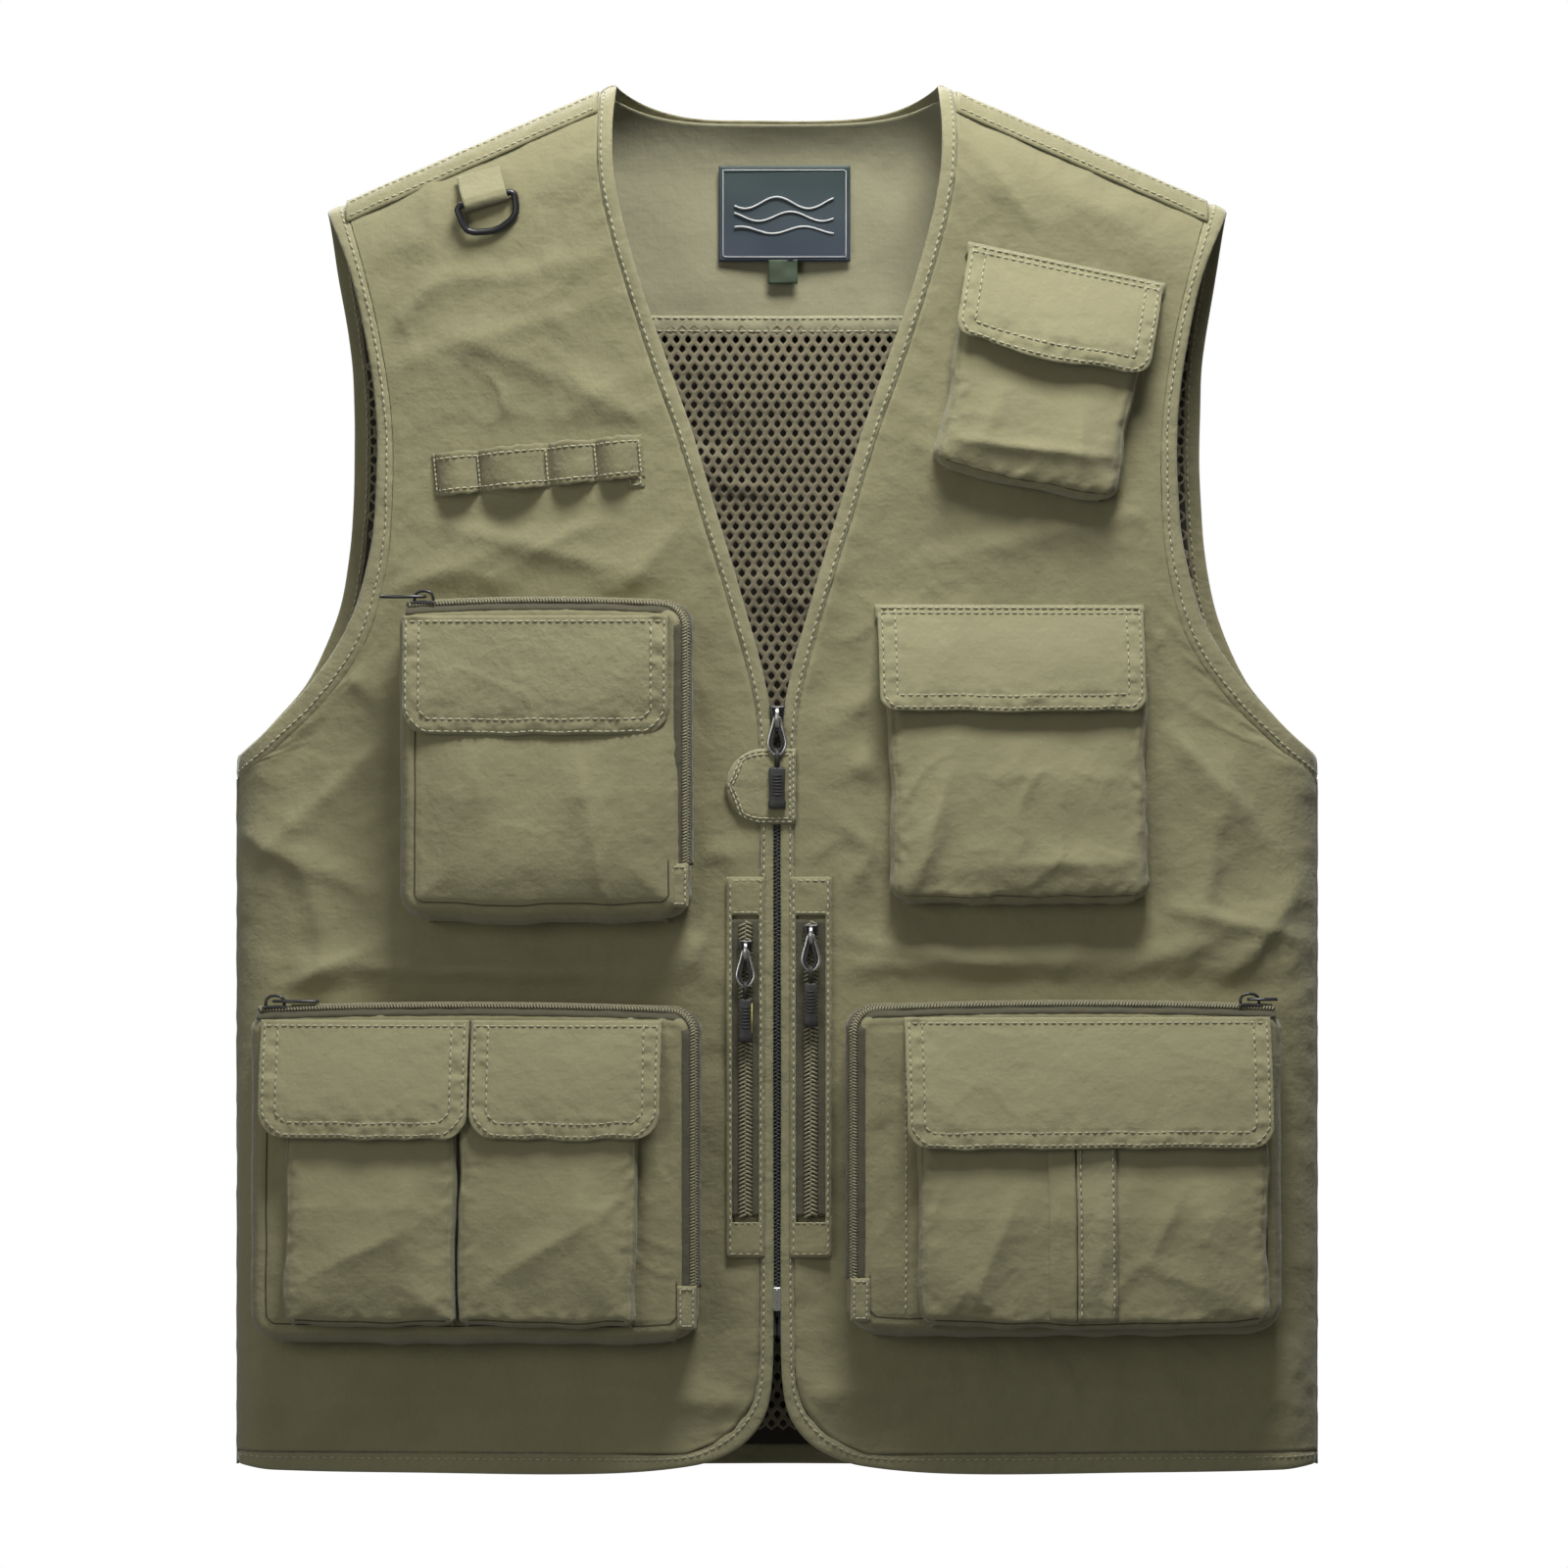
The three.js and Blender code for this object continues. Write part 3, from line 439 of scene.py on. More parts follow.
class Heap:
    """Collects many small solids into one mesh."""

    def __init__(self):
        self.points, self.faces, self.count = [], [], 0

    def add(self, points, faces):
        self.points.append(np.asarray(points, float))
        self.faces += [tuple(i + self.count for i in f) for f in faces]
        self.count += len(points)

    def make(self, name, material, smooth=True):
        made = make_object(name, np.concatenate(self.points), self.faces, material, smooth)
        fix_normals(made)
        return made


# A stitch is a short thick thread, sunk a little at both ends.
STITCH_LENGTH, STITCH_PITCH, STITCH_RADIUS = 2.9, 3.9, 0.42


def stitch_row(heap, path, normal, pitch=STITCH_PITCH, length=STITCH_LENGTH, radius=STITCH_RADIUS, rise=0.18):
    """Lays stitches along a path on a surface. normal is one direction or one for each point."""
    path = np.asarray(path, float)
    normal = np.broadcast_to(np.asarray(normal, float), path.shape)
    s = along(path)
    count = int(s[-1] // pitch)
    if count < 1:
        return
    start = (s[-1] - count * pitch) / 2 + (pitch - length) / 2
    for k in range(count):
        places = start + k * pitch + length * np.array([0, 0.2, 0.5, 0.8, 1])
        spine = np.stack([np.interp(places, s, path[:, a]) for a in range(3)], -1)
        out = np.stack([np.interp(places, s, normal[:, a]) for a in range(3)], -1)
        lift = rise + radius * np.array([-0.9, 0.35, 0.7, 0.35, -0.9])
        spine = spine + out * lift[:, None]
        heap.add(*tube(spine, radius * np.array([0.55, 0.95, 1, 0.95, 0.55]), 6))


vest_stitches = Heap()


# ---------------------------------------------------------------- outlines of the shell's left half
# Rows down one front: free edge of the binding, seam of the binding, far edge at the armhole or side seam.
FRONT_ROWS = np.array([
    [[81.8, -0.1], [89.5, -3.3], [219.5, -60.5]],
    [[83.5, -23], [91, -24], [207.5, -101]],
    [[82.5, -46.5], [90, -48], [199.5, -138.5]],
    [[77.5, -72], [84.5, -75], [195, -174]],
    [[68, -105.5], [75, -108], [195, -213.5]],
    [[55, -143], [62.5, -146], [198, -246]],
    [[43, -177], [50, -181], [207.5, -281]],
    [[31, -217], [38, -221], [227, -310.5]],
    [[18, -260], [25, -263], [253, -336.5]],
    [[5.0, -309], [12, -312], [274, -354]],
    [[1.9, -345], [9, -345], [274, -385]],
    [[1.9, -500], [9, -500], [274, -510]],
    [[1.9, -640], [9, -640], [274, -640]],
    [[4, -668], [11, -664], [274, -662]],
    [[10, -682], [18, -677], [274, -676]],
    [[22, -693], [29, -687], [274, -686]],
    [[42, -700.5], [46, -694.5], [274, -694.5]],
])
HEM_ROWS = np.array([
    [[90, -705], [90, HEM_Z]],
    [[180, -705], [180, HEM_Z]],
    [[256, -704], [256, HEM_Z]],
    [[274, -701.5], [274, HEM_Z]],
])
ARMHOLE_EDGE_FRONT = np.array([
    [229, -64.7], [216, -97], [207.5, -134.5], [203, -172], [203.5, -210],
    [207, -240.5], [217, -273.5], [236, -303.5], [259, -328], [274, -341],
])
ARMHOLE_EDGE_BACK = np.array([
    [229, -64.7], [224, -97], [219, -127], [216.5, -155], [216, -200],
    [218.5, -236], [225, -270], [239, -301.5], [259, -326], [274, -341],
])
ARMHOLE_SEAM_BACK = np.array([
    [219.5, -60.5], [216, -99], [213, -115], [208.5, -157], [208, -200],
    [210.5, -238], [217, -274], [231.5, -308], [254, -335], [274, -354],
])


def side_columns(step):
    """Shares across a panel, closer together where the form turns at the side seam."""
    plain = np.linspace(0, 0.93, int(0.93 * HALF_WIDTH / step))
    turn = 1 - 0.07 * (1 - np.linspace(0, 1, 12)[1:]) ** 2
    return np.concatenate([plain, turn])


def bump_at(x, z, cx, cz, length, width, angle, height):
    """A soft fold: a ridge of that length and width, turned by angle, about a point."""
    c, s = math.cos(angle), math.sin(angle)
    a, b = (x - cx) * c + (z - cz) * s, -(x - cx) * s + (z - cz) * c
    b = b + 0.10 * width * np.sin(a / length * 2.2)
    return height * np.exp(-((a / length) ** 2) - np.abs(b / width) ** 1.25)


def creases(x, z, size, stretch, angle, seed):
    """Crumpled cloth: sharp ridges that wander, longer along angle than across it. About -0.4 to 0.6."""
    c, s = math.cos(angle), math.sin(angle)
    a, b = x * c + z * s, -x * s + z * c
    bend_a = 0.5 * size * noise(a / size / 1.3, b / size / 1.3, seed + 51)
    bend_b = 0.5 * size * noise(a / size, b / size, seed + 52)
    a, b = a + bend_a, b + bend_b
    ridge = 1 - np.abs(noise(a / (size * stretch), b / size, seed)) * 2.2
    where = np.clip(0.55 + 0.8 * noise(a / (size * 2.3), b / (size * 2.1), seed + 53), 0, 1)
    return np.clip(ridge, 0, 1) ** 2 * where - 0.15


# Folds of each front: centre x and z, half length, half width, angle, height.
FRONT_FOLDS = {
    "left": [
        (150, -225, 60, 9, 0.25, 2.2), (110, -205, 50, 8, -0.5, 1.8), (60, -360, 50, 8, 1.2, 2.2),
        (215, -400, 60, 10, 1.35, 2.6), (215, -350, 45, 8, -0.8, 2.4), (110, -445, 80, 8, 0.05, 2.2),
        (200, -440, 60, 9, 0.4, 2.0), (60, -660, 70, 8, 0.15, 2.4), (180, -665, 90, 9, -0.06, 2.6),
        (250, -560, 90, 7, 1.5, 2.2), (175, -75, 45, 8, -0.55, 1.8), (120, -60, 35, 7, -0.9, 1.6),
        (38, -318, 42, 6, 0.75, 2.6), (44, -345, 40, 6, 0.35, 2.4), (32, -378, 34, 5, -0.5, 2.2),
        (45, -395, 40, 5, 0.9, 2.0),
        (235, -440, 45, 6, 0.9, 2.6), (245, -470, 40, 6, 0.3, 2.2), (222, -425, 50, 6, -0.2, 2.4),
        (70, -440, 50, 6, -0.15, 2.0),
    ],
    "right": [
        (-150, -130, 60, 9, 0.3, 2.0), (-110, -150, 55, 8, -0.4, 1.8), (-70, -250, 60, 9, 0.9, 2.2),
        (-170, -250, 45, 8, 0.4, 2.0), (-225, -360, 55, 9, 0.8, 2.6), (-230, -430, 60, 9, -1.3, 2.2),
        (-120, -448, 90, 8, 0.04, 2.4), (-60, -665, 70, 8, -0.1, 2.4), (-180, -668, 90, 9, 0.05, 2.6),
        (-35, -385, 40, 7, 1.4, 1.8), (-180, -110, 40, 7, 0.8, 1.8), (-130, -95, 40, 7, 0.2, 1.6),
        (-34, -312, 40, 6, -0.8, 2.4), (-36, -430, 30, 5, 1.2, 2.0), (-235, -455, 50, 6, 0.5, 2.6),
        (-215, -300, 60, 7, -0.7, 2.4),
        (-120, -236, 50, 6, -0.25, 2.2), (-90, -222, 45, 5, 0.5, 1.8), (-150, -450, 80, 6, -0.03, 2.6),
        (-240, -395, 40, 6, -0.4, 2.2),
    ],
}


# The cloth lies flat under what is sewn on: centre x and z, half width and half height.
SEWN = [
    (118, -262, 72, 14), (121, -357, 68, 60), (148, -102, 60, 24), (150, -150, 52, 60), (147, -545, 112, 86),
    (17, -499, 13, 99), (-16, -499, 13, 99), (0, -345, 30, 36), (-118, -345, 76, 82), (-154, -550, 116, 86),
    (-120, -198, 60, 20), (-146, -62, 20, 26),
]


def held_down(x, z):
    """0 under what is sewn on, 1 away from it."""
    free = np.ones(np.broadcast(x, z).shape)
    for cx, cz, w, h in SEWN:
        away = np.maximum(np.abs(x - cx) - w, np.abs(z - cz) - h)
        free = np.minimum(free, np.clip(away / 12, 0, 1))
    return free * free * (3 - 2 * free)


def front_wrinkles(x, z, s, seam_gap, side_gap, side_word):
    """Lift of a front's cloth: broad waves, listed folds, and puckers beside its seams."""
    seed = 3 if side_word == "left" else 11
    lift = 2.0 * noise(x / 75, z / 95, seed) + 1.1 * noise(x / 28, z / 40, seed + 1)
    lift = lift + 2.0 * creases(x, z, 30, 2.6, 0.7, seed + 5) + 1.1 * creases(x, z, 19, 2.4, -0.5, seed + 6)
    lift = lift + 0.4 * creases(x, z, 10, 2.0, 0.2, seed + 7) + 0.3 * noise(x / 7, z / 8, seed + 2)
    for fold in FRONT_FOLDS[side_word]:
        lift = lift + 1.7 * bump_at(x, z, *fold)
    puckers = 0.8 * np.exp(-((seam_gap / 10) ** 2)) * noise(s / 5.5, seam_gap / 14, seed + 3)
    beside = np.exp(-((side_gap / 12) ** 2)) * np.clip(side_gap / 6, 0, 1)
    puckers = puckers + 1.0 * beside * noise(s / 7.5, side_gap / 16, seed + 4)
    hold = np.clip(seam_gap / 14, 0, 1) * np.clip(side_gap / 14, 0, 1)
    free = held_down(x, z)
    near_seams = 0.5 * np.exp(-((free - 0.5) / 0.3) ** 2) * noise(x / 6, z / 6, seed + 8)
    lift = np.where(lift > 0, lift * (0.12 + 0.88 * free), lift) * hold
    return lift + puckers * (0.3 + 0.7 * free) + near_seams


def build_front(word):
    side = SIDES[word]
    rows, s = spline(FRONT_ROWS, 3.0)
    share = side_columns(3.2)
    # The cloth stops short of the armhole's binding, and meets the back at the side seam.
    far = rows[:, 2, 0] - np.where(rows[:, 2, 1] > SIDE_SEAM_TOP, 0.6, 0)
    x = np.minimum(rows[:, 1, 0, None] + (far - rows[:, 1, 0])[:, None] * share, HALF_WIDTH)
    z = rows[:, 1, 1, None] + (rows[:, 2, 1] - rows[:, 1, 1])[:, None] * share
    width = (rows[:, 2, 0] - rows[:, 1, 0])[:, None]
    lift = front_wrinkles(side * x, z, s[:, None], share * width, (1 - share) * width, word)
    lift = lift * np.clip((shoulder_z(x) - z) / 12, 0, 1) * np.clip((z + 700) / 14, 0, 1)
    grid = on_form(side * x, z, CLOTH + lift, FRONT)
    made = thick_sheet(f"front_{word}_cloth", grid, SHELL, SHELL_THICK, (0, -1, 0), INSIDE_SHADE)
    dress(made, "olive_fabric", f"front_{word}", cloth=grid)
    inner = on_form(side * (x + 4 * (1 - share)), z, LINING_LIFT + 0.8, FRONT)[::2, ::2]
    lining = thick_sheet(f"front_lining_{word}_cloth", inner, KNIT, LINING_THICK, (0, -1, 0), INSIDE_SHADE)
    dress(lining, "brown_mesh", f"front_lining_{word}", cloth=inner)


def binding(name, edge, seam, faces, node, seed):
    """A folded binding between its free edge and its seam, as x, z points. faces says front or back at each."""
    edge, seam = np.asarray(edge, float), np.asarray(seam, float)
    s = along(edge)
    across = np.linspace(0, 1, 8)
    flat = seam[:, None] + (edge - seam)[:, None] * across[None, :, None]
    puff = 1 - np.abs(2 * across - 1) ** 3.2
    ripple = 0.38 * noise(s[:, None] / 5.2, across[None] * 1.3, seed) * np.exp(-(((across - 0.25) / 0.35) ** 2))
    ripple = ripple + 0.35 * noise(s[:, None] / 24, across[None], seed + 5)
    top_lift = 0.7 + 0.9 * puff[None] + ripple
    face = np.broadcast_to(np.asarray(faces, float)[:, None], top_lift.shape)
    top = on_form(flat[..., 0], flat[..., 1], top_lift, face)
    under = on_form(flat[..., 0], flat[..., 1], top_lift - 0.45 - 1.1 * puff[None], face)
    loop = np.concatenate([top, under[:, ::-1]], axis=1)
    rows, cols = loop.shape[:2]
    made = make_object(name, loop.reshape(-1, 3), loft_faces(rows, cols), BINDING)
    fix_normals(made)
    dress(made, "olive_binding", node)
    out = np.stack([np.zeros(rows), np.asarray(faces, float), np.zeros(rows)], -1)
    stitch_row(vest_stitches, top[:, 2], out)
    if np.all(np.asarray(faces)[:10] == BACK) and "armhole" in name:
        behind = np.asarray(faces) == BACK
        stitch_row(vest_stitches, under[behind, 2], -out[behind])


def paired(edge, seam, step=2.4):
    """Edge and seam resampled together, closely enough for ripples."""
    curve, _ = spline(np.stack([edge, seam], axis=1), step)
    return curve[:, 0], curve[:, 1]


def build_bindings():
    for word, side in SIDES.items():
        sign = np.array([side, 1])
        keys = np.concatenate([FRONT_ROWS[:, :2], HEM_ROWS])
        edge, seam = paired(keys[:, 0] * sign, keys[:, 1] * sign)
        binding(f"front_binding_{word}", edge, seam, np.full(len(edge), FRONT), f"front_band_{word}", 21 + side)
        edge_b, seam_b = paired(ARMHOLE_EDGE_BACK[::-1] * sign, ARMHOLE_SEAM_BACK[::-1] * sign)
        edge_f, seam_f = paired(ARMHOLE_EDGE_FRONT * sign, FRONT_ROWS[:10, 2] * sign)
        faces = np.concatenate([np.full(len(edge_b), BACK), np.full(len(edge_f) - 1, FRONT)])
        edge = np.concatenate([edge_b, edge_f[1:]])
        seam = np.concatenate([seam_b, seam_f[1:]])
        binding(f"armhole_binding_{word}", edge, seam, faces, f"armhole_band_{word}", 31 + side)
    f = np.linspace(-1, 1, 90)
    edge = np.stack([NECK_HALF * f, -NECK_DROP * (1 - f ** 4)], -1)
    seam = np.stack([89.5 * f, -3.3 - (NECK_DROP + 0.7) * (1 - f ** 4)], -1)
    binding("neck_binding", edge, seam, np.full(len(f), BACK), "neck_band", 41)
    x = np.linspace(-273.6, 273.6, 240)
    edge = np.stack([x, np.interp(np.abs(x), HEM_ROWS[:, 0, 0], HEM_ROWS[:, 0, 1])], -1)
    seam = np.stack([x, np.full_like(x, HEM_Z)], -1)
    binding("hem_binding_back", edge, seam, np.full(len(x), BACK), "hem_band_back", 51)


def build_side_seams():
    """A felled seam down each side, over the join between front and back."""
    for word, side in SIDES.items():
        y, z = np.meshgrid(np.linspace(-2.8, 2.8, 9), np.linspace(SIDE_SEAM_TOP + 1, -702, 150))
        crown = 0.5 * (1 - (y / 2.8) ** 2) + 0.25 * noise(y / 3, z / 6, 601 + side)
        grid = np.stack([side * (HALF_WIDTH + CLOTH + 0.1 + crown), y, z], -1)
        made = thick_sheet(f"side_seam_{word}", grid, SHELL, SHELL_THICK, (side, 0, 0))
        dress(made, "olive_fabric", cloth=grid)


BACK_FOLDS = [(0, -300, 120, 14, 1.4, 2.0), (-120, -480, 100, 12, 1.2, 2.2), (140, -520, 110, 12, 1.8, 2.2),
              (60, -650, 90, 10, 0.1, 1.8), (-170, -300, 60, 9, 0.9, 2.0), (180, -310, 60, 9, 2.2, 2.0)]


def build_back():
    head, foot = -114.7, -696.5
    seam = ARMHOLE_SEAM_BACK
    z = np.linspace(head, foot, 190)
    half = np.interp(-z, [*(-seam[2:, 1]), 700], [*(seam[2:-1, 0] - 0.6), HALF_WIDTH, HALF_WIDTH])
    share = side_columns(4.2)
    share = np.concatenate([-share[:0:-1], share])
    x = half[:, None] * share
    zz = np.broadcast_to(z[:, None], x.shape)
    edge_gap = half[:, None] * (1 - np.abs(share))
    lift = 2.2 * noise(x / 90, zz / 130, 61) + 1.3 * noise(x / 34, zz / 60, 62)
    lift = lift + 1.9 * creases(x, zz, 34, 2.8, 1.2, 64) + 1.0 * creases(x, zz, 20, 2.4, -0.6, 65)
    lift = lift + 0.35 * creases(x, zz, 11, 2, 0.3, 66)
    for fold in BACK_FOLDS:
        lift = lift + bump_at(x, zz, *fold)
    for gap in (edge_gap, head - zz, zz - foot):
        lift = lift * np.clip(gap / 14, 0, 1)
    lift = lift + 0.5 * np.exp(-(((head - zz) / 9) ** 2)) * noise(x / 6, zz / 14, 63)
    grid = on_form(x, zz, CLOTH + lift, BACK)
    made = thick_sheet("back_panel_cloth", grid, SHELL, SHELL_THICK, (0, 1, 0), INSIDE_SHADE)
    dress(made, "olive_fabric", "back_panel", cloth=grid)


def yoke_grid(lift, foot_z, seed=71, amount=1.0, tuck=0.0):
    """The yoke or its lining, from its neck and shoulder edges down to its foot. tuck raises its neck edge."""
    top_half, foot_half = 219, 212.6
    share = np.linspace(-1, 1, int(2 * top_half / 3))
    top_x = share * top_half
    neck = np.clip(np.abs(top_x) / 90.3, 0, 1)
    top_z = np.where(neck < 1, -3.3 - (NECK_DROP + 0.7) * (1 - neck ** 4) - 0.5 + tuck, shoulder_z(top_x))
    drops = np.concatenate([np.linspace(0, 0.16, 12)[:-1], np.linspace(0.16, 1, 30)])[:, None]
    # Its ends bulge a little, to meet the armholes' bindings.
    x = top_x + (share * foot_half - top_x) * drops + 1.9 * np.sin(drops * math.pi) * share ** 9
    z = top_z + (foot_z - top_z) * drops
    waves = 0.8 * noise(x / 60, z / 50, seed) + 0.4 * noise(x / 20, z / 24, seed + 1)
    waves = waves * amount * np.clip(drops / 0.25, 0, 1) * np.clip((1 - drops) / 0.15, 0, 1)
    return on_form(x, z, lift + waves, BACK)


def build_yoke():
    grid = yoke_grid(CLOTH, -114.9)
    made = thick_sheet("back_yoke_cloth", grid, SHELL, SHELL_THICK, (0, 1, 0.4), INSIDE_SHADE)
    dress(made, "olive_fabric", "back_yoke", cloth=grid)
    lining = yoke_grid(LINING_LIFT, -119.5, seed=81, amount=1.6, tuck=5.0)
    made = thick_sheet("yoke_lining_cloth", lining, LINING, LINING_THICK, (0, -1, 0))
    dress(made, "olive_fabric", "yoke_lining", cloth=lining)


# The mesh lining's holes stand in staggered rows.
HOLE_PITCH, HOLE_ROW = 6.2, 4.8


def build_mesh_lining():
    """A knitted mesh: cells of six strands round a six-sided hole, over the whole back lining."""
    seam = ARMHOLE_SEAM_BACK
    top, foot = -120.0, -690.0
    heap_points, heap_faces = [], []
    index = {}

    def vertex(u, v):
        key = (round(u * 50), round(v * 50))
        if key not in index:
            index[key] = len(heap_points)
            heap_points.append((u, v))
        return index[key]

    corners = [(-0.5, 1 / 6), (0, 0.5), (0.5, 1 / 6), (0.5, -1 / 6), (0, -0.5), (-0.5, -1 / 6)]
    row_height = HOLE_ROW / (2 / 3)
    rows = int((top - foot) / HOLE_ROW)
    for r in range(rows):
        cz = top - HOLE_ROW * (r + 0.5)
        half = float(np.interp(-cz, [*(-seam[2:, 1]), 700], [*(seam[2:, 0] + 3), HALF_WIDTH - 2]))
        half = min(half, HALF_WIDTH - 2)
        count = int(half / HOLE_PITCH)
        for k in range(-count, count + 1):
            cx = (k + 0.5 * (r % 2)) * HOLE_PITCH
            if abs(cx) > half:
                continue
            wobble = 0.25 * noise(cx / 9, cz / 9, 91)
            outer = [vertex(cx + a * HOLE_PITCH, cz + b * row_height) for a, b in corners]
            inner = [vertex(cx + a * HOLE_PITCH * 0.50 + float(wobble) * 0.5, cz + b * row_height * 0.60)
                     for a, b in corners]
            for n in range(6):
                m = (n + 1) % 6
                heap_faces.append((outer[n], outer[m], inner[m], inner[n]))
    flat = np.array(heap_points)
    fx, fz = flat[:, 0], flat[:, 1]
    free = np.clip((-126 - fz) / 40, 0, 1)
    lift = 1.8 * noise(fx / 45, fz / 30, 92) + 3.2 * creases(fx, fz, 26, 3.0, 0.15, 94)
    lift = LINING_LIFT - 1.2 - np.clip(lift + 1.2, 0, 6) * free
    points = on_form(flat[:, 0], flat[:, 1], lift, BACK)
    made = make_object("mesh_lining_knit", points, heap_faces, KNIT)
    thicken = made.modifiers.new("yarn", "SOLIDIFY")
    thicken.thickness = 0.45 * MM
    thicken.offset = 0
    dress(made, "brown_mesh", "mesh_lining")
    # A facing of the same cloth closes the mesh against the yoke lining.
    x = np.linspace(-210, 210, 280)
    levels = np.linspace(-114.8, -124.2, 12)
    strip = np.stack([on_form(x, np.full_like(x, z), LINING_LIFT, BACK) for z in levels])
    across = np.linspace(0, 1, 12)[:, None]
    crown = np.sin(across * math.pi) ** 0.6
    puckers = 0.5 * crown * noise(x / 5, across * 1.5, 93)
    strip[..., 1] -= 0.9 + 1.0 * crown + puckers + 0.5 * noise(x / 40, 0, 95)
    hem = thick_sheet("mesh_lining_facing", strip, LINING, LINING_THICK, (0, -1, 0))
    dress(hem, "olive_fabric", cloth=strip)
    for row in (1.6, 9.4):
        stitch_row(vest_stitches, sample(strip, np.full(400, row), np.linspace(1, 278, 400)), (0, -1, 0))


# ---------------------------------------------------------------- flat work in the plane of each front
def to_front(side, u, v, z):
    """World point of u along a front's plane, v out of it (towards -Y) and z."""
    angle = side * TILT_ANGLE
    c, s = math.cos(angle), math.sin(angle)
    return np.stack([u * c - v * s, -DEPTH + u * s + v * c, z], -1)


def along_at(x, v):
    """The u of a point that shows at x when it stands at v."""
    return (x + math.sin(math.copysign(1, x) * TILT_ANGLE) * v) / math.cos(TILT_ANGLE)


def span(x0, x1, v):
    """The u of both sides of what shows from x0 to x1 and stands at v."""
    return along_at(x0, v), along_at(x1, v)


def out_of(side):
    angle = side * TILT_ANGLE
    return np.array([math.sin(angle), -math.cos(angle), 0])


SKIN = -1.5
BOX_DEPTH = 27
BAG_DEPTH = 28.8  # a box pocket's cloth puffs a little past its gusset
FACE_V = SKIN - BOX_DEPTH - 0.3 - 1.5 - 0.3  # what is sewn to a box pocket's face starts here
ZIP_V = SKIN - BOX_DEPTH + 3.5  # the line of a box pocket's zip, on which its slider stands


class Place:
    """Maps local u, v, z (millimetres) on a front's plane, or on a group turned within it, to the vest."""

    def __init__(self, side, u0=0.0, z0=0.0, turn=0.0):
        self.side, self.u0, self.z0, self.turn = side, u0, z0, turn

    def __call__(self, u, v, z):
        u, v, z = np.broadcast_arrays(np.asarray(u, float), v, z)
        c, s = math.cos(self.turn), math.sin(self.turn)
        return to_front(self.side, self.u0 + u * c + z * s, v, self.z0 - u * s + z * c)

    def out(self):
        return out_of(self.side)


def section(a0, a1, depth, radius_low, radius_high, step, wall_high=True):
    """Samples across a bag: places along an axis, and the share of full depth at each."""
    def side_of(radius):
        wall = np.linspace(0, 1 - radius / depth, max(3, int((depth - radius) / step)))[:-1]
        arc = np.linspace(0, math.pi / 2, 7)
        place = np.concatenate([1.2 * np.sin(wall * math.pi) * -1, radius * (1 - np.cos(arc))])
        height = np.concatenate([wall, 1 - (radius - radius * np.sin(arc)) / depth])
        return place, height

    low = side_of(radius_low)
    high = side_of(radius_high) if wall_high else (np.array([0.0]), np.array([1.0]))
    start, end = a0 + low[0][-1], a1 - high[0][-1]
    flat = np.linspace(start, end, int((end - start) / step) + 1)[1:-1]
    places = np.concatenate([a0 + low[0], flat, (a1 - high[0])[::-1]])
    heights = np.concatenate([low[1], np.ones(len(flat)), high[1][::-1]])
    return places, heights


BAG_STEP = 1.7


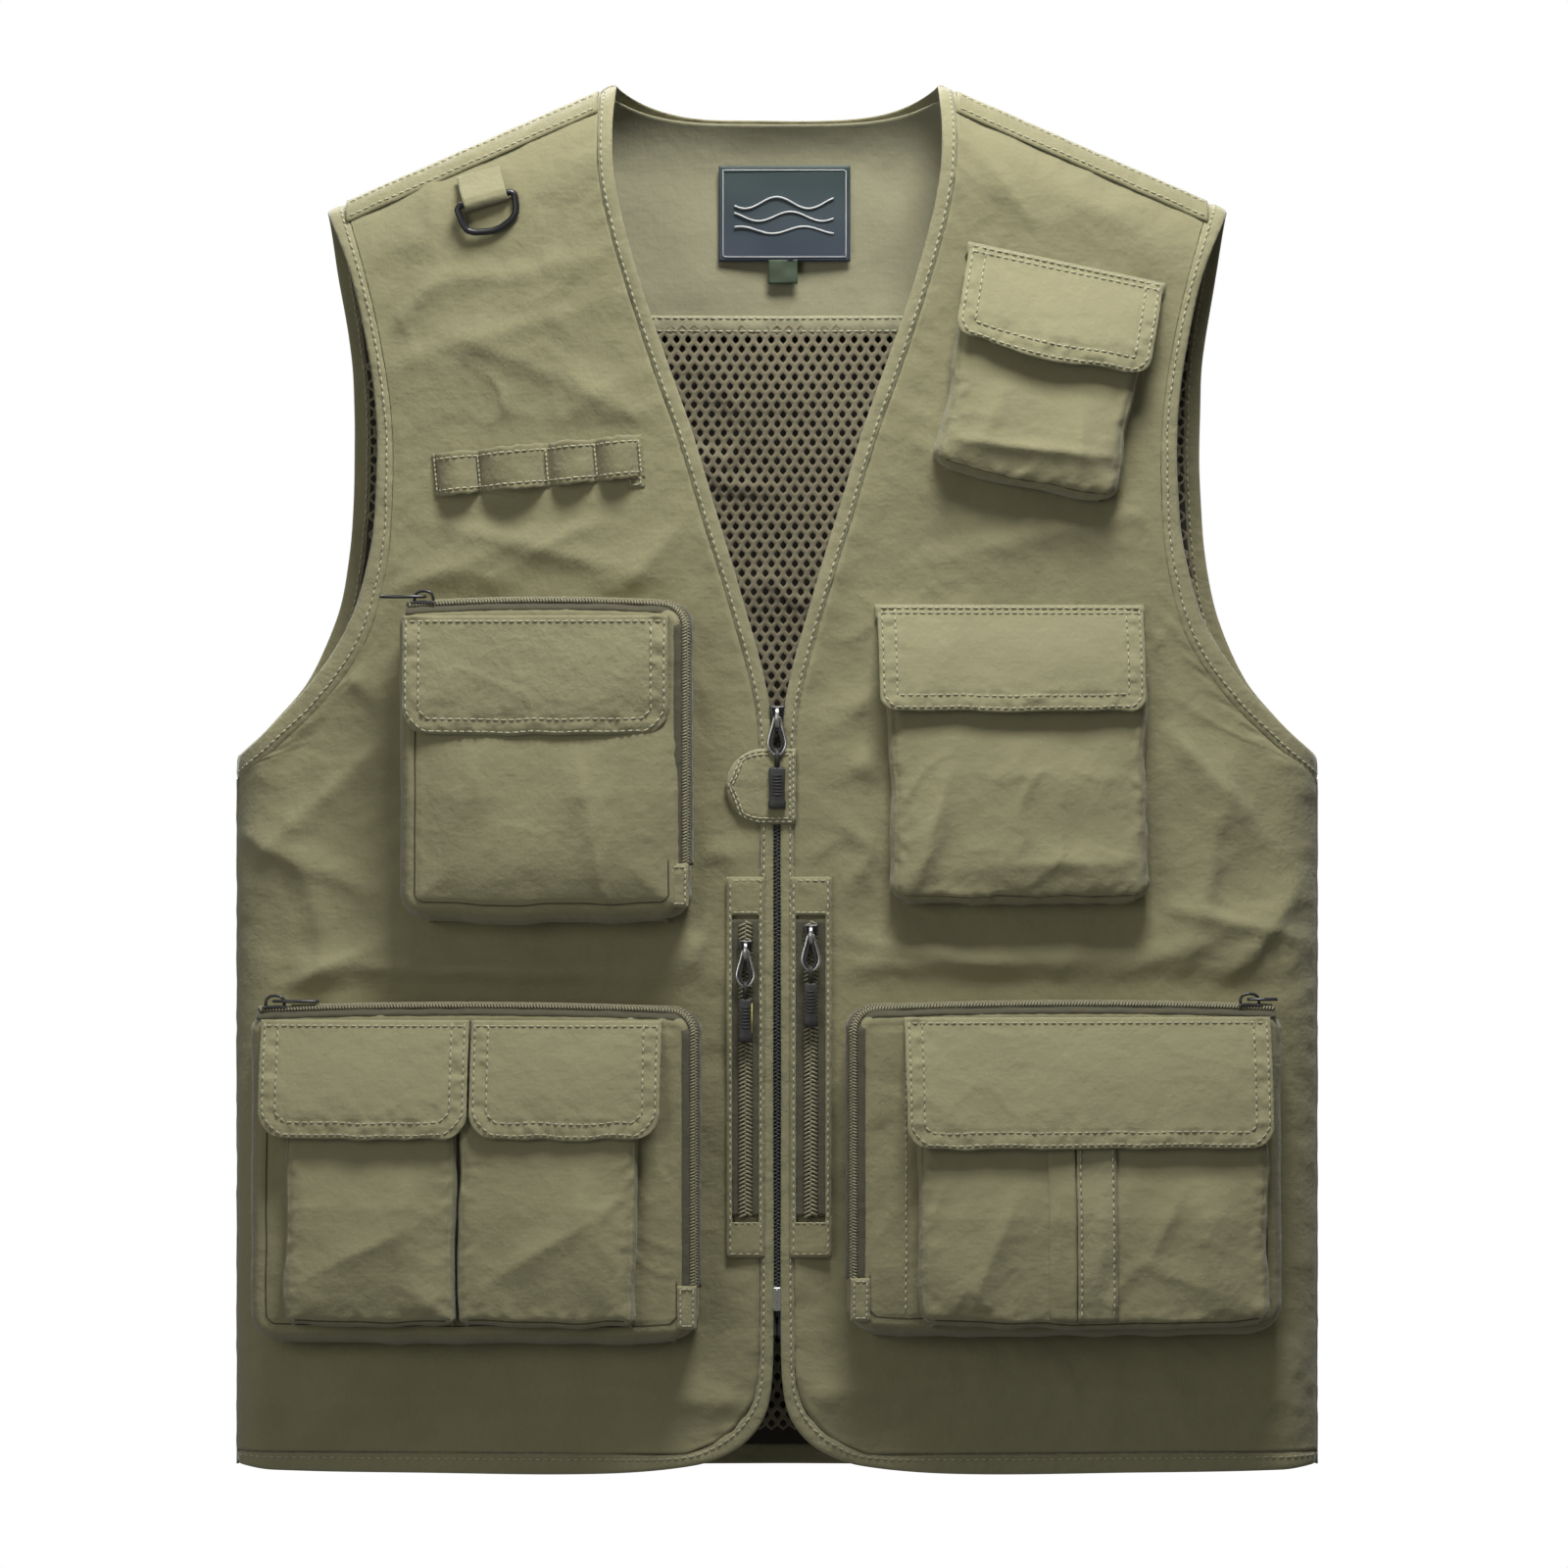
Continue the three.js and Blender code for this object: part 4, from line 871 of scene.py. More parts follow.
class Bag:
    """A sewn bag standing off the cloth: walls, rounded corners and a face, with folds and puckers."""

    def __init__(self, name, place, u0, u1, z0, z1, v, mouth, foot, seed, *, radius, foot_radius, puff, folds,
                 corner_foot, waist, seam_at, calm_above, open_top=False, corner_top=0.0, sag=1.5, top_bow=0.0,
                 edge_life=1.0):
        deep = max(mouth, foot)
        self.us, hu = section(u0, u1, deep, radius, radius, BAG_STEP)
        self.zs, hz = section(z0, z1, deep, foot_radius, radius, BAG_STEP, not open_top)
        u, z = np.meshgrid(self.us, self.zs)
        depth = foot + (mouth - foot) * np.clip((z - z0) / (z1 - z0), 0, 1)
        share = hu[None] * hz[:, None]
        gap = np.minimum(np.minimum(u - u0, u1 - u), np.minimum(z - z0, (z1 - z) + (40 if open_top else 0)))
        middle = np.clip(gap / 30, 0, 1)
        waves = 1.8 * noise(u / 42, z / 60, seed) + 1.0 * noise(u / 17, z / 24, seed + 1)
        waves = waves + 1.6 * creases(u, z, 26, 2.6, 1.1, seed + 5)
        waves = waves + 0.7 * creases(u, z, 15, 2.4, -0.4, seed + 6)
        waves = waves + 0.2 * creases(u, z, 8, 2.0, 0.4, seed + 7)
        for fold in folds:
            waves = waves + 1.5 * bump_at(u, z, *fold)
        pucker = 0.8 * edge_life * np.exp(-((gap - 3) / 6.0) ** 2)
        pucker = pucker * noise((u + z) / 5.2, (u - z) / 5.2, seed + 3)
        groove = -1.0 * np.exp(-((gap - seam_at) / 1.3) ** 2) * (share > 0.9)
        puffed = puff * np.sin(middle * math.pi / 2)
        self.wall = share < 0.93
        crush = np.where(self.wall, 1.1 * edge_life * noise(u / 12, z / 16, seed + 4), 0)
        crush = crush * np.clip(share * (1 - share) * 4, 0, 1)
        calm = np.clip((z1 - calm_above * 0.55 - z) / (calm_above * 0.45 + 0.1), 0.1, 1)
        inside = np.clip((gap - 6 + 6 * edge_life) / 9, 0.15 * edge_life, 1)
        out = depth * share + calm * (puffed + waves * inside) * share ** 2 + groove + pucker * share
        u = u + crush * np.sign(u - (u0 + u1) / 2) * 0.6
        z = z + crush * 0.6 * np.where(np.abs(z - z0) < 12, -1, 0)
        # The outline: rounded corners, sides that bow and wander, and a foot that sags.
        middle_u, half_u = (u0 + u1) / 2, (u1 - u0) / 2
        shrink = np.zeros_like(u)
        for edge_gap, radius_at in ((z - z0, corner_foot), (z1 - z, corner_top)):
            if radius_at:
                t = np.clip(1 - edge_gap / radius_at, 0, 1)
                shrink = shrink + radius_at * (1 - np.sqrt(np.clip(1 - t ** 2, 0, 1)))
        tall = np.clip((z - z0) / (z1 - z0), 0, 1)
        bow = -waist * np.sin(tall * math.pi)
        bow = bow + 1.1 * edge_life * noise(z / 19, np.sign(u - middle_u) * 3.0, seed + 8)
        u = middle_u + (u - middle_u) * (1 + (bow - shrink) / half_u)
        sag_here = sag * (1 - ((u - middle_u) / half_u) ** 2) + 1.2 * noise(u / 16, 0.3, seed + 9)
        z = z - np.clip(sag_here, -1, 9) * (1 - tall) ** 3 * np.clip(share * 1.5, 0, 1)
        z = z + top_bow * (1 - np.clip(np.abs(u - middle_u) / half_u, 0, 1) ** 2) * tall ** 3
        self.grid = place(u, v - out, z)
        self.place, self.name = place, name
        self.hu, self.hz = hu, hz

    def point(self, u, z):
        """A point of the face and its outward direction."""
        face_j = np.where(self.hu > 0.93)[0]
        face_i = np.where(self.hz > 0.93)[0]
        fj = np.interp(u, self.us[face_j], face_j)
        fi = np.interp(z, self.zs[face_i], face_i)
        return sample(self.grid, fi, fj)

    def make(self, material, wall_shade_material, nodes, slot):
        made = thick_sheet(self.name, self.grid, material, SHELL_THICK, self.place.out())
        # The walls take the darker cloth: painted shade on the bag's sides.
        made.data.materials.append(wall_shade_material)
        flags = (self.wall[:-1, :-1] | self.wall[1:, 1:]).ravel().astype(np.int32)
        index = np.zeros(len(made.data.polygons), np.int32)
        index[:len(flags)] = flags
        made.data.polygons.foreach_set("material_index", index)
        dress(made, slot, *nodes, cloth=self.grid)


def sample(grid, fi, fj):
    fi, fj = np.broadcast_arrays(np.asarray(fi, float), fj)
    fi = np.clip(fi, 0, grid.shape[0] - 1.001)
    fj = np.clip(fj, 0, grid.shape[1] - 1.001)
    i, j = fi.astype(int), fj.astype(int)
    a, b = (fi - i)[..., None], (fj - j)[..., None]
    near = grid[i, j] * (1 - a) + grid[i + 1, j] * a
    far = grid[i, j + 1] * (1 - a) + grid[i + 1, j + 1] * a
    return near * (1 - b) + far * b


def stitch_on(bag, route):
    """Stitches along straight legs between u, z points of a bag's face."""
    path = resampled(np.asarray(route, float), 1.0)
    stitch_row(vest_stitches, bag.point(path[:, 0], path[:, 1]), bag.place.out())


def frame_route(u0, u1, z0, z1, inset):
    """Once round a rectangle, inset from its edges, from its top left corner downwards."""
    a, b, c, d = u0 + inset, u1 - inset, z0 + inset, z1 - inset
    return np.array([(a, d), (a, c), (b, c), (b, d), (a, d)], float)


# ---------------------------------------------------------------- zips
def ribbon(name, path, normal, half_width, material, node, seed, bend=None):
    """A tape along a path, lying across the normal at each point. bend is the radius of its curve across."""
    path, normal = np.asarray(path, float), np.broadcast_to(np.asarray(normal, float), np.shape(path))
    tangent = np.gradient(path, axis=0)
    across = np.cross(tangent, normal)
    across /= np.linalg.norm(across, axis=1, keepdims=True)
    w = np.linspace(-half_width, half_width, 9)
    s = along(path)
    wave = 0.3 * noise(s[:, None] / 9, w[None] / 6, 200 + seed)
    if bend:
        wave = wave - w[None] ** 2 / (2 * bend)
    grid = path[:, None] + across[:, None] * w[None, :, None] + normal[:, None] * wave[..., None]
    made = thick_sheet(name, grid, material, 0.6, normal.mean(0))
    dress(made, "zip_tape", node, cloth=grid)


def coil(name, path, normal, half_width, material, pitch=1.55, radius=0.62, chevron=0.9):
    """A zip's closed coil: slanting turns from both sides that meet along the middle."""
    path = resampled(np.asarray(path, float), 0.8)
    normal = np.asarray(normal, float)
    if normal.ndim == 2:
        places = np.linspace(0, 1, len(normal))
        normal = np.stack([np.interp(np.linspace(0, 1, len(path)), places, normal[:, k]) for k in range(3)], -1)
    normal = np.broadcast_to(normal, path.shape)
    tangent = np.gradient(path, axis=0)
    tangent /= np.linalg.norm(tangent, axis=1, keepdims=True)
    across = np.cross(tangent, normal)
    across /= np.linalg.norm(across, axis=1, keepdims=True)
    s = along(path)
    heap = Heap()
    for k in range(int(s[-1] / pitch)):
        at = (k + 0.5) * pitch
        lines = (path, normal, tangent, across)
        p, n, t, a = (np.array([np.interp(at, s, line[:, i]) for i in range(3)]) for line in lines)
        for hand in (-1, 1):
            shift = 0.0 if hand < 0 else pitch * 0.5
            spine = np.array([
                p + a * hand * half_width + t * (shift + chevron) - n * 0.5,
                p + a * hand * half_width * 0.9 + t * (shift + chevron * 0.8) + n * 0.35,
                p + a * hand * half_width * 0.4 + t * (shift + chevron * 0.3) + n * 0.75,
                p - a * hand * 0.25 + t * shift + n * 0.45,
            ])
            heap.add(*tube(spine, radius, 6))
    dress(heap.make(name, material), "zip_tape")


def block_points(u0, u1, v0, v1, z0, z1, bevel=0.3):
    """A box with chamfered edges as points and faces, in local coordinates."""
    points, faces = [], []
    lo, hi = np.array([u0, v0, z0]), np.array([u1, v1, z1])
    centre, half = (lo + hi) / 2, (hi - lo) / 2
    b = min(bevel, *(half * 0.8))
    index = {}
    for sx in (-1, 1):
        for sy in (-1, 1):
            for sz in (-1, 1):
                sign = np.array([sx, sy, sz])
                for axis in range(3):
                    inset = np.full(3, b)
                    inset[axis] = 0
                    index[(sx, sy, sz, axis)] = len(points)
                    points.append(centre + sign * (half - inset))
    for axis in range(3):
        o1, o2 = (axis + 1) % 3, (axis + 2) % 3
        for sign in (-1, 1):
            ring = []
            for s1, s2 in ((-1, -1), (1, -1), (1, 1), (-1, 1)):
                key = [0, 0, 0]
                key[axis], key[o1], key[o2] = sign, s1, s2
                ring.append(index[(*key, axis)])
            faces.append(tuple(ring if sign > 0 else ring[::-1]))
        for s1 in (-1, 1):
            for s2 in (-1, 1):
                def at(end, which):
                    key = [0, 0, 0]
                    key[axis], key[o1], key[o2] = end, s1, s2
                    return index[(*key, which)]
                faces.append((at(-1, o1), at(1, o1), at(1, o2), at(-1, o2)))
    for sx in (-1, 1):
        for sy in (-1, 1):
            for sz in (-1, 1):
                faces.append((index[(sx, sy, sz, 0)], index[(sx, sy, sz, 1)], index[(sx, sy, sz, 2)]))
    return np.array(points), faces


class Fitting:
    """A hard fitting in its own frame: an origin in mm and three axes u, v (towards the vest) and z."""

    def __init__(self, origin, x_axis, y_axis, z_axis):
        self.origin = np.asarray(origin, float)
        self.axes = np.array([x_axis, y_axis, z_axis], float)
        self.heap = Heap()

    def add(self, points, faces):
        self.heap.add(self.origin + np.asarray(points) @ self.axes, faces)

    def block(self, *args, **options):
        self.add(*block_points(*args, **options))

    def wire(self, path, radius, closed=False, sides=8):
        self.add(*tube(path, radius, sides, closed))

    def make(self, name, material, slot, *nodes, body="vest", smooth=True):
        dress(self.heap.make(name, material, smooth), slot, *nodes, body=body)


def slider_shape(fitting, half, length):
    """The body of a coil slider: waisted, with two shoulders, and domed."""
    z = np.linspace(-length / 2, length / 2, 15)
    t = (z + length / 2) / length
    width = half * (0.78 + 0.26 * t ** 1.5 - 0.10 * np.sin(t * math.pi))
    turn = np.linspace(0, math.pi, 11)
    rows = []
    for zz, w, q in zip(z, width, t):
        rise = 1.5 * (1 - 0.35 * (2 * q - 1) ** 4)
        across = w * np.sign(np.cos(turn)) * np.abs(np.cos(turn)) ** 0.45
        rows.append(np.stack([across, -rise * np.sin(turn) ** 0.45, np.full_like(turn, zz)], -1))
    rows = np.array(rows)
    n, m = rows.shape[:2]
    fitting.add(rows.reshape(-1, 3), loft_faces(n, m))


def bridge_shape(fitting, length):
    """The arched bridge that the pull hangs from."""
    arch = np.linspace(0, math.pi, 15)
    path = np.stack([np.zeros(15), -1.2 - 5.2 * np.sin(arch) ** 0.55, -np.cos(arch) * (length / 2 - 1.2)], -1)
    for shift in (-0.35, 0, 0.35):
        fitting.wire(path + np.array([shift, 0, 0]), 0.75)


CORD_LENGTH = 6
# The moulded tab: its outline across, and its sections as share of length, width and thickness.
TAB_OUTLINE = np.array([[-1, -0.7], [-0.88, -1], [0, -1.04], [0.88, -1], [1, -0.7],
                        [1, 0.7], [0.88, 1], [-0.88, 1], [-1, 0.7]])
TAB_SECTIONS = [(0, 0.72, 0.8), (0.02, 0.9, 1.2), (0.06, 1.0, 1.45), (0.45, 0.93, 1.45), (0.78, 0.93, 1.45),
                (0.84, 1.06, 1.6), (0.97, 1.06, 1.6), (0.995, 0.98, 1.3), (1, 0.9, 0.9)]


def loop_pull(name, fitting_args, loop_half, loop_length, tab_half, tab_length, accent=None):
    """A pear-shaped nickel wire loop, black inside, with a cord and a moulded black tab hanging from it."""
    body = f"{name}_pull"
    wire = Fitting(*fitting_args)
    turn = np.linspace(0, 2 * math.pi, 49)[:-1]
    low_share = (1 - np.cos(turn)) / 2
    square = 0.35 + 0.65 * np.clip(low_share / 0.3, 0, 1)
    half = 2.3 + (loop_half - 2.3) * np.clip(low_share / 0.72, 0, 1) ** 1.6
    x = np.sign(np.sin(turn)) * np.abs(np.sin(turn)) ** square * half
    z = -loop_length * low_share + 0.2
    outline = np.stack([x, np.zeros(48), z], -1)
    wire.wire(outline, 0.78, closed=True)
    wire.make(f"{name}_wire", NICKEL, "nickel", f"{name}_pull", body=body)
    tab = Fitting(*fitting_args)
    inner = outline * np.array([0.62, 1, 0.66]) + np.array([0, 0, -4.8])
    tab.wire(inner, 0.95, closed=True)
    top = -loop_length - CORD_LENGTH
    tab.wire([[0, 0, -loop_length + 2.2], [0, -0.3, -loop_length - 0.4], [0, 0, top - 1]], 1.35)
    rows = []
    for q, w, thick in TAB_SECTIONS:
        w = w * tab_half
        height = np.full(len(TAB_OUTLINE), top - q * tab_length)
        rows.append(np.stack([TAB_OUTLINE[:, 0] * w, TAB_OUTLINE[:, 1] * thick, height], -1))
    rows = np.array(rows)
    tab.add(rows.reshape(-1, 3), loft_faces(*rows.shape[:2]))
    for q in np.linspace(0.2, 0.66, 7):
        rib, level = tab_half * 0.6, top - q * tab_length
        tab.wire([[-rib, -1.4, level], [0, -1.6, level], [rib, -1.4, level]], 0.36, sides=6)
    tab.make(f"{name}_tab", RUBBER, "black_rubber", body=body)
    if accent is not None:
        edge = Fitting(*fitting_args)
        edge.wire([[tab_half * 0.93, -0.9, top - share * tab_length] for share in (0.1, 0.8)], 0.42)
        edge.make(f"{name}_edge", accent, "black_rubber", body=body)


def hinge_of(name):
    joint = next(j for j in frame["joints"] if j["name"] == name)
    return np.array(joint["pos_m"]) * 1000


HINGE_RISE = 3.5  # how far a pull's hinge stands off the middle of its slider


def build_upright_zip(name, half, length, accent=None):
    """Slider and pull of a zip that runs up and down: its frame stands on the hinge of the pull."""
    hinge = hinge_of(f"{name}_pull_hinge")
    axes = ((1, 0, 0), (0, 1, 0), (0, 0, 1))
    body = Fitting(hinge + np.array([0, HINGE_RISE, 0]), *axes)
    slider_shape(body, half, length)
    body.make(f"{name}_slider_metal", BLACK_METAL, "black_metal", f"{name}_slider", body=f"{name}_slider")
    bridge = Fitting(hinge + np.array([0, HINGE_RISE, 0]), *axes)
    bridge_shape(bridge, length)
    bridge.make(f"{name}_bridge", NICKEL, "nickel", body=f"{name}_slider")
    sizes = (5.0, 19, 4.2, 21) if name == "main" else (4.9, 18, 3.4, 22)
    loop_pull(name, (hinge, *axes), *sizes, accent)


def build_box_slider(name, towards, side, pull_length):
    """Slider and flat wire pull of a box pocket's zip, lying along the top of the pocket."""
    hinge = hinge_of(f"{name}_pull_hinge")
    angle = side * TILT_ANGLE
    along_u = np.array([math.cos(angle), math.sin(angle), 0])
    out = out_of(side)
    # Local axes: x across the zip, y down into it, z against the way the pull lies.
    axes = (-out * towards, (0, 0, -1), -along_u * towards)
    body = Fitting(hinge - np.array([0, 0, HINGE_RISE]), *axes)
    slider_shape(body, 3.9, 12)
    bridge_shape(body, 12)
    body.make(f"{name}_slider_metal", BLACK_METAL, "black_metal", f"{name}_slider", body=f"{name}_slider")
    pull = Fitting(hinge, *axes)
    n = pull_length
    half_path = [[1.2, 0, 0.5], [2.1, 0, 0], [2.5, 0, -n * 0.5], [1.9, 0, -n + 0.9], [0.9, 0, -n + 0.2]]
    path = [*half_path, *([-x, y, z] for x, y, z in half_path[::-1])]
    pull.wire(path, 0.8, closed=True)
    pull.block(-1.9, 1.9, -0.6, 0.6, -n * 0.95, -n * 0.40, bevel=0.4)
    pull.wire([[0, 0, -n * 0.4], [0, 0, -n * 0.95]], 0.9)
    pull.make(f"{name}_pull_metal", BLACK_METAL, "black_metal", f"{name}_pull", body=f"{name}_pull")


# ---------------------------------------------------------------- flaps
FLAP_FRONT = 1.5  # how far a flap's hinge stands off what it covers


def build_flap(node, place, u0, u1, top, length, v, lean, cut, middle=0.0, *, seed, rows_in=(2.2, 8.8)):
    """A flap hanging from its top edge: a doubled cloth with two rows of stitches, riding its own body."""
    half = (u1 - u0) / 2
    centre = (u0 + u1) / 2
    t = np.linspace(0, 1, int(length / 1.3))
    t = t + 0.10 * np.sin(t * math.pi) * t * (1 - t)
    a = np.linspace(-1, 1, int(2 * half / 1.4))
    reach = length + middle * (1 - np.abs(a[None]) ** 1.2) + 0.9 * noise(a[None] * half / 14, 0.4, seed + 6)
    drop = t[:, None] * reach
    near_end = np.clip((t - (1 - cut / length)) / (cut / length), 0, 0.995)
    corner = cut * (1 - np.sqrt(1 - near_end ** 2))
    width = half - corner
    u = centre + width[:, None] * a[None]
    to_side = width[:, None] * (1 - np.abs(a[None]))
    to_foot = length + middle * 0.5 - drop
    side_gap = np.minimum(to_foot, to_side)
    wave = 1.9 * noise(u / 46, drop / 60, seed) + 0.45 * noise(u / 17, drop / 30, seed + 1)
    wave = wave * np.clip(t[:, None] * 1.4, 0, 1) + 0.45 * creases(u, drop, 18, 2.4, 0.3, seed + 4)
    beside = np.where(to_side < to_foot, drop, u)
    between_rows = np.exp(-((side_gap - sum(rows_in) / 2) / 3.4) ** 2)
    past_rows = np.exp(-((side_gap - rows_in[1] - 4) / 4.0) ** 2)
    pucker = 1.15 * between_rows * noise(beside / 3.4, side_gap / 9, seed + 3)
    pucker = pucker + 0.4 * past_rows * noise(beside / 6.0, side_gap / 9, seed + 7)
    grooves = sum(-0.4 * np.exp(-((side_gap - inset) / 0.9) ** 2) for inset in rows_in)
    edge = -0.5 * np.exp(-(side_gap / 1.4) ** 2)
    standing = v - FLAP_FRONT - drop * math.sin(lean) - 2.1 * np.sin(t[:, None] * math.pi)
    grid = place(u, standing - wave - pucker - grooves - edge, top - drop * math.cos(lean))
    # Most flaps take the lighter flap cloth: painted light.
    look = BINDING if node == "mid_flap_right" else FLAP_CLOTH_LIT
    made = thick_sheet(f"{node}_cloth", grid, look, 1.1, place.out())
    dress(made, "olive_binding", node, body=node, cloth=grid)
    heap = Heap()
    n, m = grid.shape[:2]
    for inset in rows_in:
        di = inset / length * (n - 1)
        dj = inset / (2 * half) * (m - 1)
        turn = (cut + 1) / length * (n - 1)
        foot_j = dj + cut / (2 * half) * (m - 1) * 0.35
        left = [(0.5, dj), (n - 1 - turn, dj), (n - 1 - di, foot_j)]
        right = [(i, m - 1 - j) for i, j in left[::-1]]
        path = resampled(np.array(left + right, float), 0.5)
        points = sample(grid, path[:, 0], path[:, 1])
        stitch_row(heap, points, place.out())
    top_row = sample(grid, np.full(60, 2.2), np.linspace(1, m - 2, 60))
    stitch_row(heap, top_row, place.out())
    stitches = heap.make(f"{node}_stitches", THREAD)
    dress(stitches, "olive_binding", body=node)


# ---------------------------------------------------------------- box pockets
def seam_shadow_line(heap, bag, route):
    """A thin dark tube along the line where two cloths are sewn together from inside: painted shadow for the
    seam's sunken valley.
    """
    path = resampled(np.asarray(route, float), 1.5)
    heap.add(*tube(bag.point(path[:, 0], path[:, 1]) + bag.place.out() * 0.05, 0.42, 6))


def build_box(name, side, x0, x1, z0, z1, inner, seed, folds, towards, pull_length, puff, calm_above):
    place = Place(side)
    u0, u1 = along_at(x0, -BOX_DEPTH), along_at(x1, -BOX_DEPTH)
    bag = Bag(f"{name}_cloth", place, u0, u1, z0, z1, SKIN, BAG_DEPTH, BAG_DEPTH, seed, radius=7.0,
              foot_radius=8.5, puff=puff, folds=folds, corner_top=10.0, corner_foot=13.0, waist=0.3,
              seam_at=8.0, calm_above=calm_above, top_bow=2.5, edge_life=0.3)
    bag.make(SHELL, GUSSET_SHADE, [f"{name}_gusset", f"{name}_face"], "olive_fabric")
    near, far = (u1, u0) if inner > 0 else (u0, u1)
    s = inner
    # A dark tube along the sunk seam: painted shadow.
    heap = Heap()
    seam_shadow_line(heap, bag, [(far + s * 8, z1 - 9), (far + s * 8, z0 + 12), (far + s * 11, z0 + 8.5),
                          (near - s * 11, z0 + 8.5), (near - s * 8, z0 + 12), (near - s * 8, z0 + 30)])
    made = heap.make(f"{name}_seam", SEAM_SHADOW)
    dress(made, "olive_gusset")
    # Zip round the top and down the side next to the centre front.
    turn = np.linspace(0, math.pi / 2, 9)
    r = 10
    corner_u = near - s * (1.0 + r) + s * r * np.sin(turn)
    corner_z = z1 + 0.3 - r + r * np.cos(turn)
    pu = np.concatenate([[far + s * 3], [far + s * 40], corner_u, [near - s * 1.0]])
    pz = np.concatenate([[z1 + 0.3], [z1 + 0.3], corner_z, [z0 + 27]])
    lean_top = np.concatenate([[1, 1], np.cos(turn), [0]])
    dense = resampled(np.stack([pu, pz, lean_top * 50], -1), 2.0)
    pu, pz, lean = dense[:, 0], dense[:, 1], dense[:, 2] / 50
    arch = 2.5 * (1 - np.clip(np.abs(pu - (u0 + u1) / 2) / ((u1 - u0) / 2), 0, 1) ** 2) * lean
    pz = pz + arch
    v = ZIP_V * lean + (FACE_V + 3.2) * (1 - lean)
    pu = pu + s * 0.6 * (1 - lean)
    path = place(pu, v, pz)
    origin = place(0, 0, 0)
    outward = 0.5 * lean + 0.74 * (1 - lean)
    upward = 0.87 * lean
    normal = place(s * (1 - lean) * 0.67, -outward, upward) - origin
    normal /= np.linalg.norm(normal, axis=1, keepdims=True)
    ribbon(f"{name}_zip_tape", path + normal * 1.0, normal, 6.0, TAPE, f"{name}_zip", seed, bend=9)
    coil(f"{name}_zip_coil", path + normal * 1.3, normal, 2.1, COIL)
    # The square patch that closes the zip's foot.
    build_patch(f"{name}_zip_patch", place, near - s * 8, near + s * 2, z0 + 6, z0 + 28, FACE_V - 0.4, seed + 9)
    build_box_slider(name, towards, side, pull_length)
    return bag


def build_patch(name, place, ua, ub, za, zb, v, seed, material=BINDING):
    """A small doubled patch with a row of stitches all round."""
    u0, u1 = min(ua, ub), max(ua, ub)
    across, down = np.linspace(u0, u1, int((u1 - u0) / 1.3) + 2), np.linspace(zb, za, int((zb - za) / 1.3) + 2)
    u, z = np.meshgrid(across, down)
    gap = np.minimum(np.minimum(u - u0, u1 - u), np.minimum(z - za, zb - z))
    groove = 0.35 * np.exp(-((gap - 1.8) / 0.8) ** 2)
    out = 0.7 * np.clip(gap / 1.5, 0, 1) + 0.3 * noise(u / 5, z / 5, seed) - groove
    grid = place(u, v - out, z)
    made = thick_sheet(name, grid, material, SHELL_THICK, place.out())
    dress(made, "olive_fabric", cloth=grid)
    route = resampled(frame_route(u0, u1, za, zb, 1.8), 1.0)
    stitch_row(vest_stitches, place(route[:, 0], v - 0.5, route[:, 1]), place.out(), 3.0)


def build_strip(name, place, u0, u1, top, height, v, seed):
    """The strip of cloth over a flap's top edge, sewn along both sides."""
    u, z = np.meshgrid(np.linspace(u0, u1, int((u1 - u0) / 1.8)), np.linspace(top, top - height, 8))
    gap = np.minimum(top - z, z - (top - height))
    out = 1.9 * np.clip(gap / 2, 0, 1) ** 0.5 + 0.4 * noise(u / 7, z / 6, seed)
    grid = place(u, v - out, z)
    made = thick_sheet(name, grid, BINDING, 0.9, place.out())
    dress(made, "olive_binding", cloth=grid)
    for inset in (1.8, height - 1.8):
        path_u = np.linspace(u0 + 1, u1 - 1, 80)
        stitch_row(vest_stitches, place(path_u, v - 1.9, np.full(80, top - inset)), place.out())


# ---------------------------------------------------------------- patch pockets
def build_tray(node, place, u0, u1, z0, z1, v, mouth, foot, seed, folds, sag=2.0, waist=2.0, radius=5.0,
               corner_foot=9.0):
    """A patch pocket with an open top. mouth and foot are how far it stands off at its top and foot."""
    bag = Bag(f"{node}_cloth", place, u0, u1, z0, z1, v, mouth, foot, seed, folds=folds, open_top=True,
              radius=radius, foot_radius=radius + 1, puff=3.5, waist=waist, sag=sag, corner_foot=corner_foot,
              seam_at=1.2, calm_above=50)
    bag.make(SHELL, GUSSET_SHADE, [node], "olive_fabric")
    # A dark tube along the sunk seam at the foot: painted shadow.
    heap = Heap()
    seam_shadow_line(heap, bag, [(u0 + 4, z0 + 1.5), (u1 - 4, z0 + 1.5)])
    made = heap.make(f"{node}_seam", SEAM_SHADOW)
    dress(made, "olive_gusset")
    return bag


MID_FOLDS = [(-150, -350, 40, 7, 1.3, 1.8), (-90, -380, 45, 8, 1.8, 1.6), (-70, -330, 30, 6, 0.6, 1.4)]
LOW_RIGHT_FOLDS = [(-210, -560, 50, 9, 1.4, 1.8), (-120, -590, 50, 9, 1.7, 1.8), (-70, -520, 40, 8, 1.2, 1.5)]
LOW_LEFT_FOLDS = [(90, -560, 60, 9, 1.7, 2.0), (200, -600, 60, 9, 1.3, 2.0), (150, -520, 50, 8, 0.2, 1.4)]


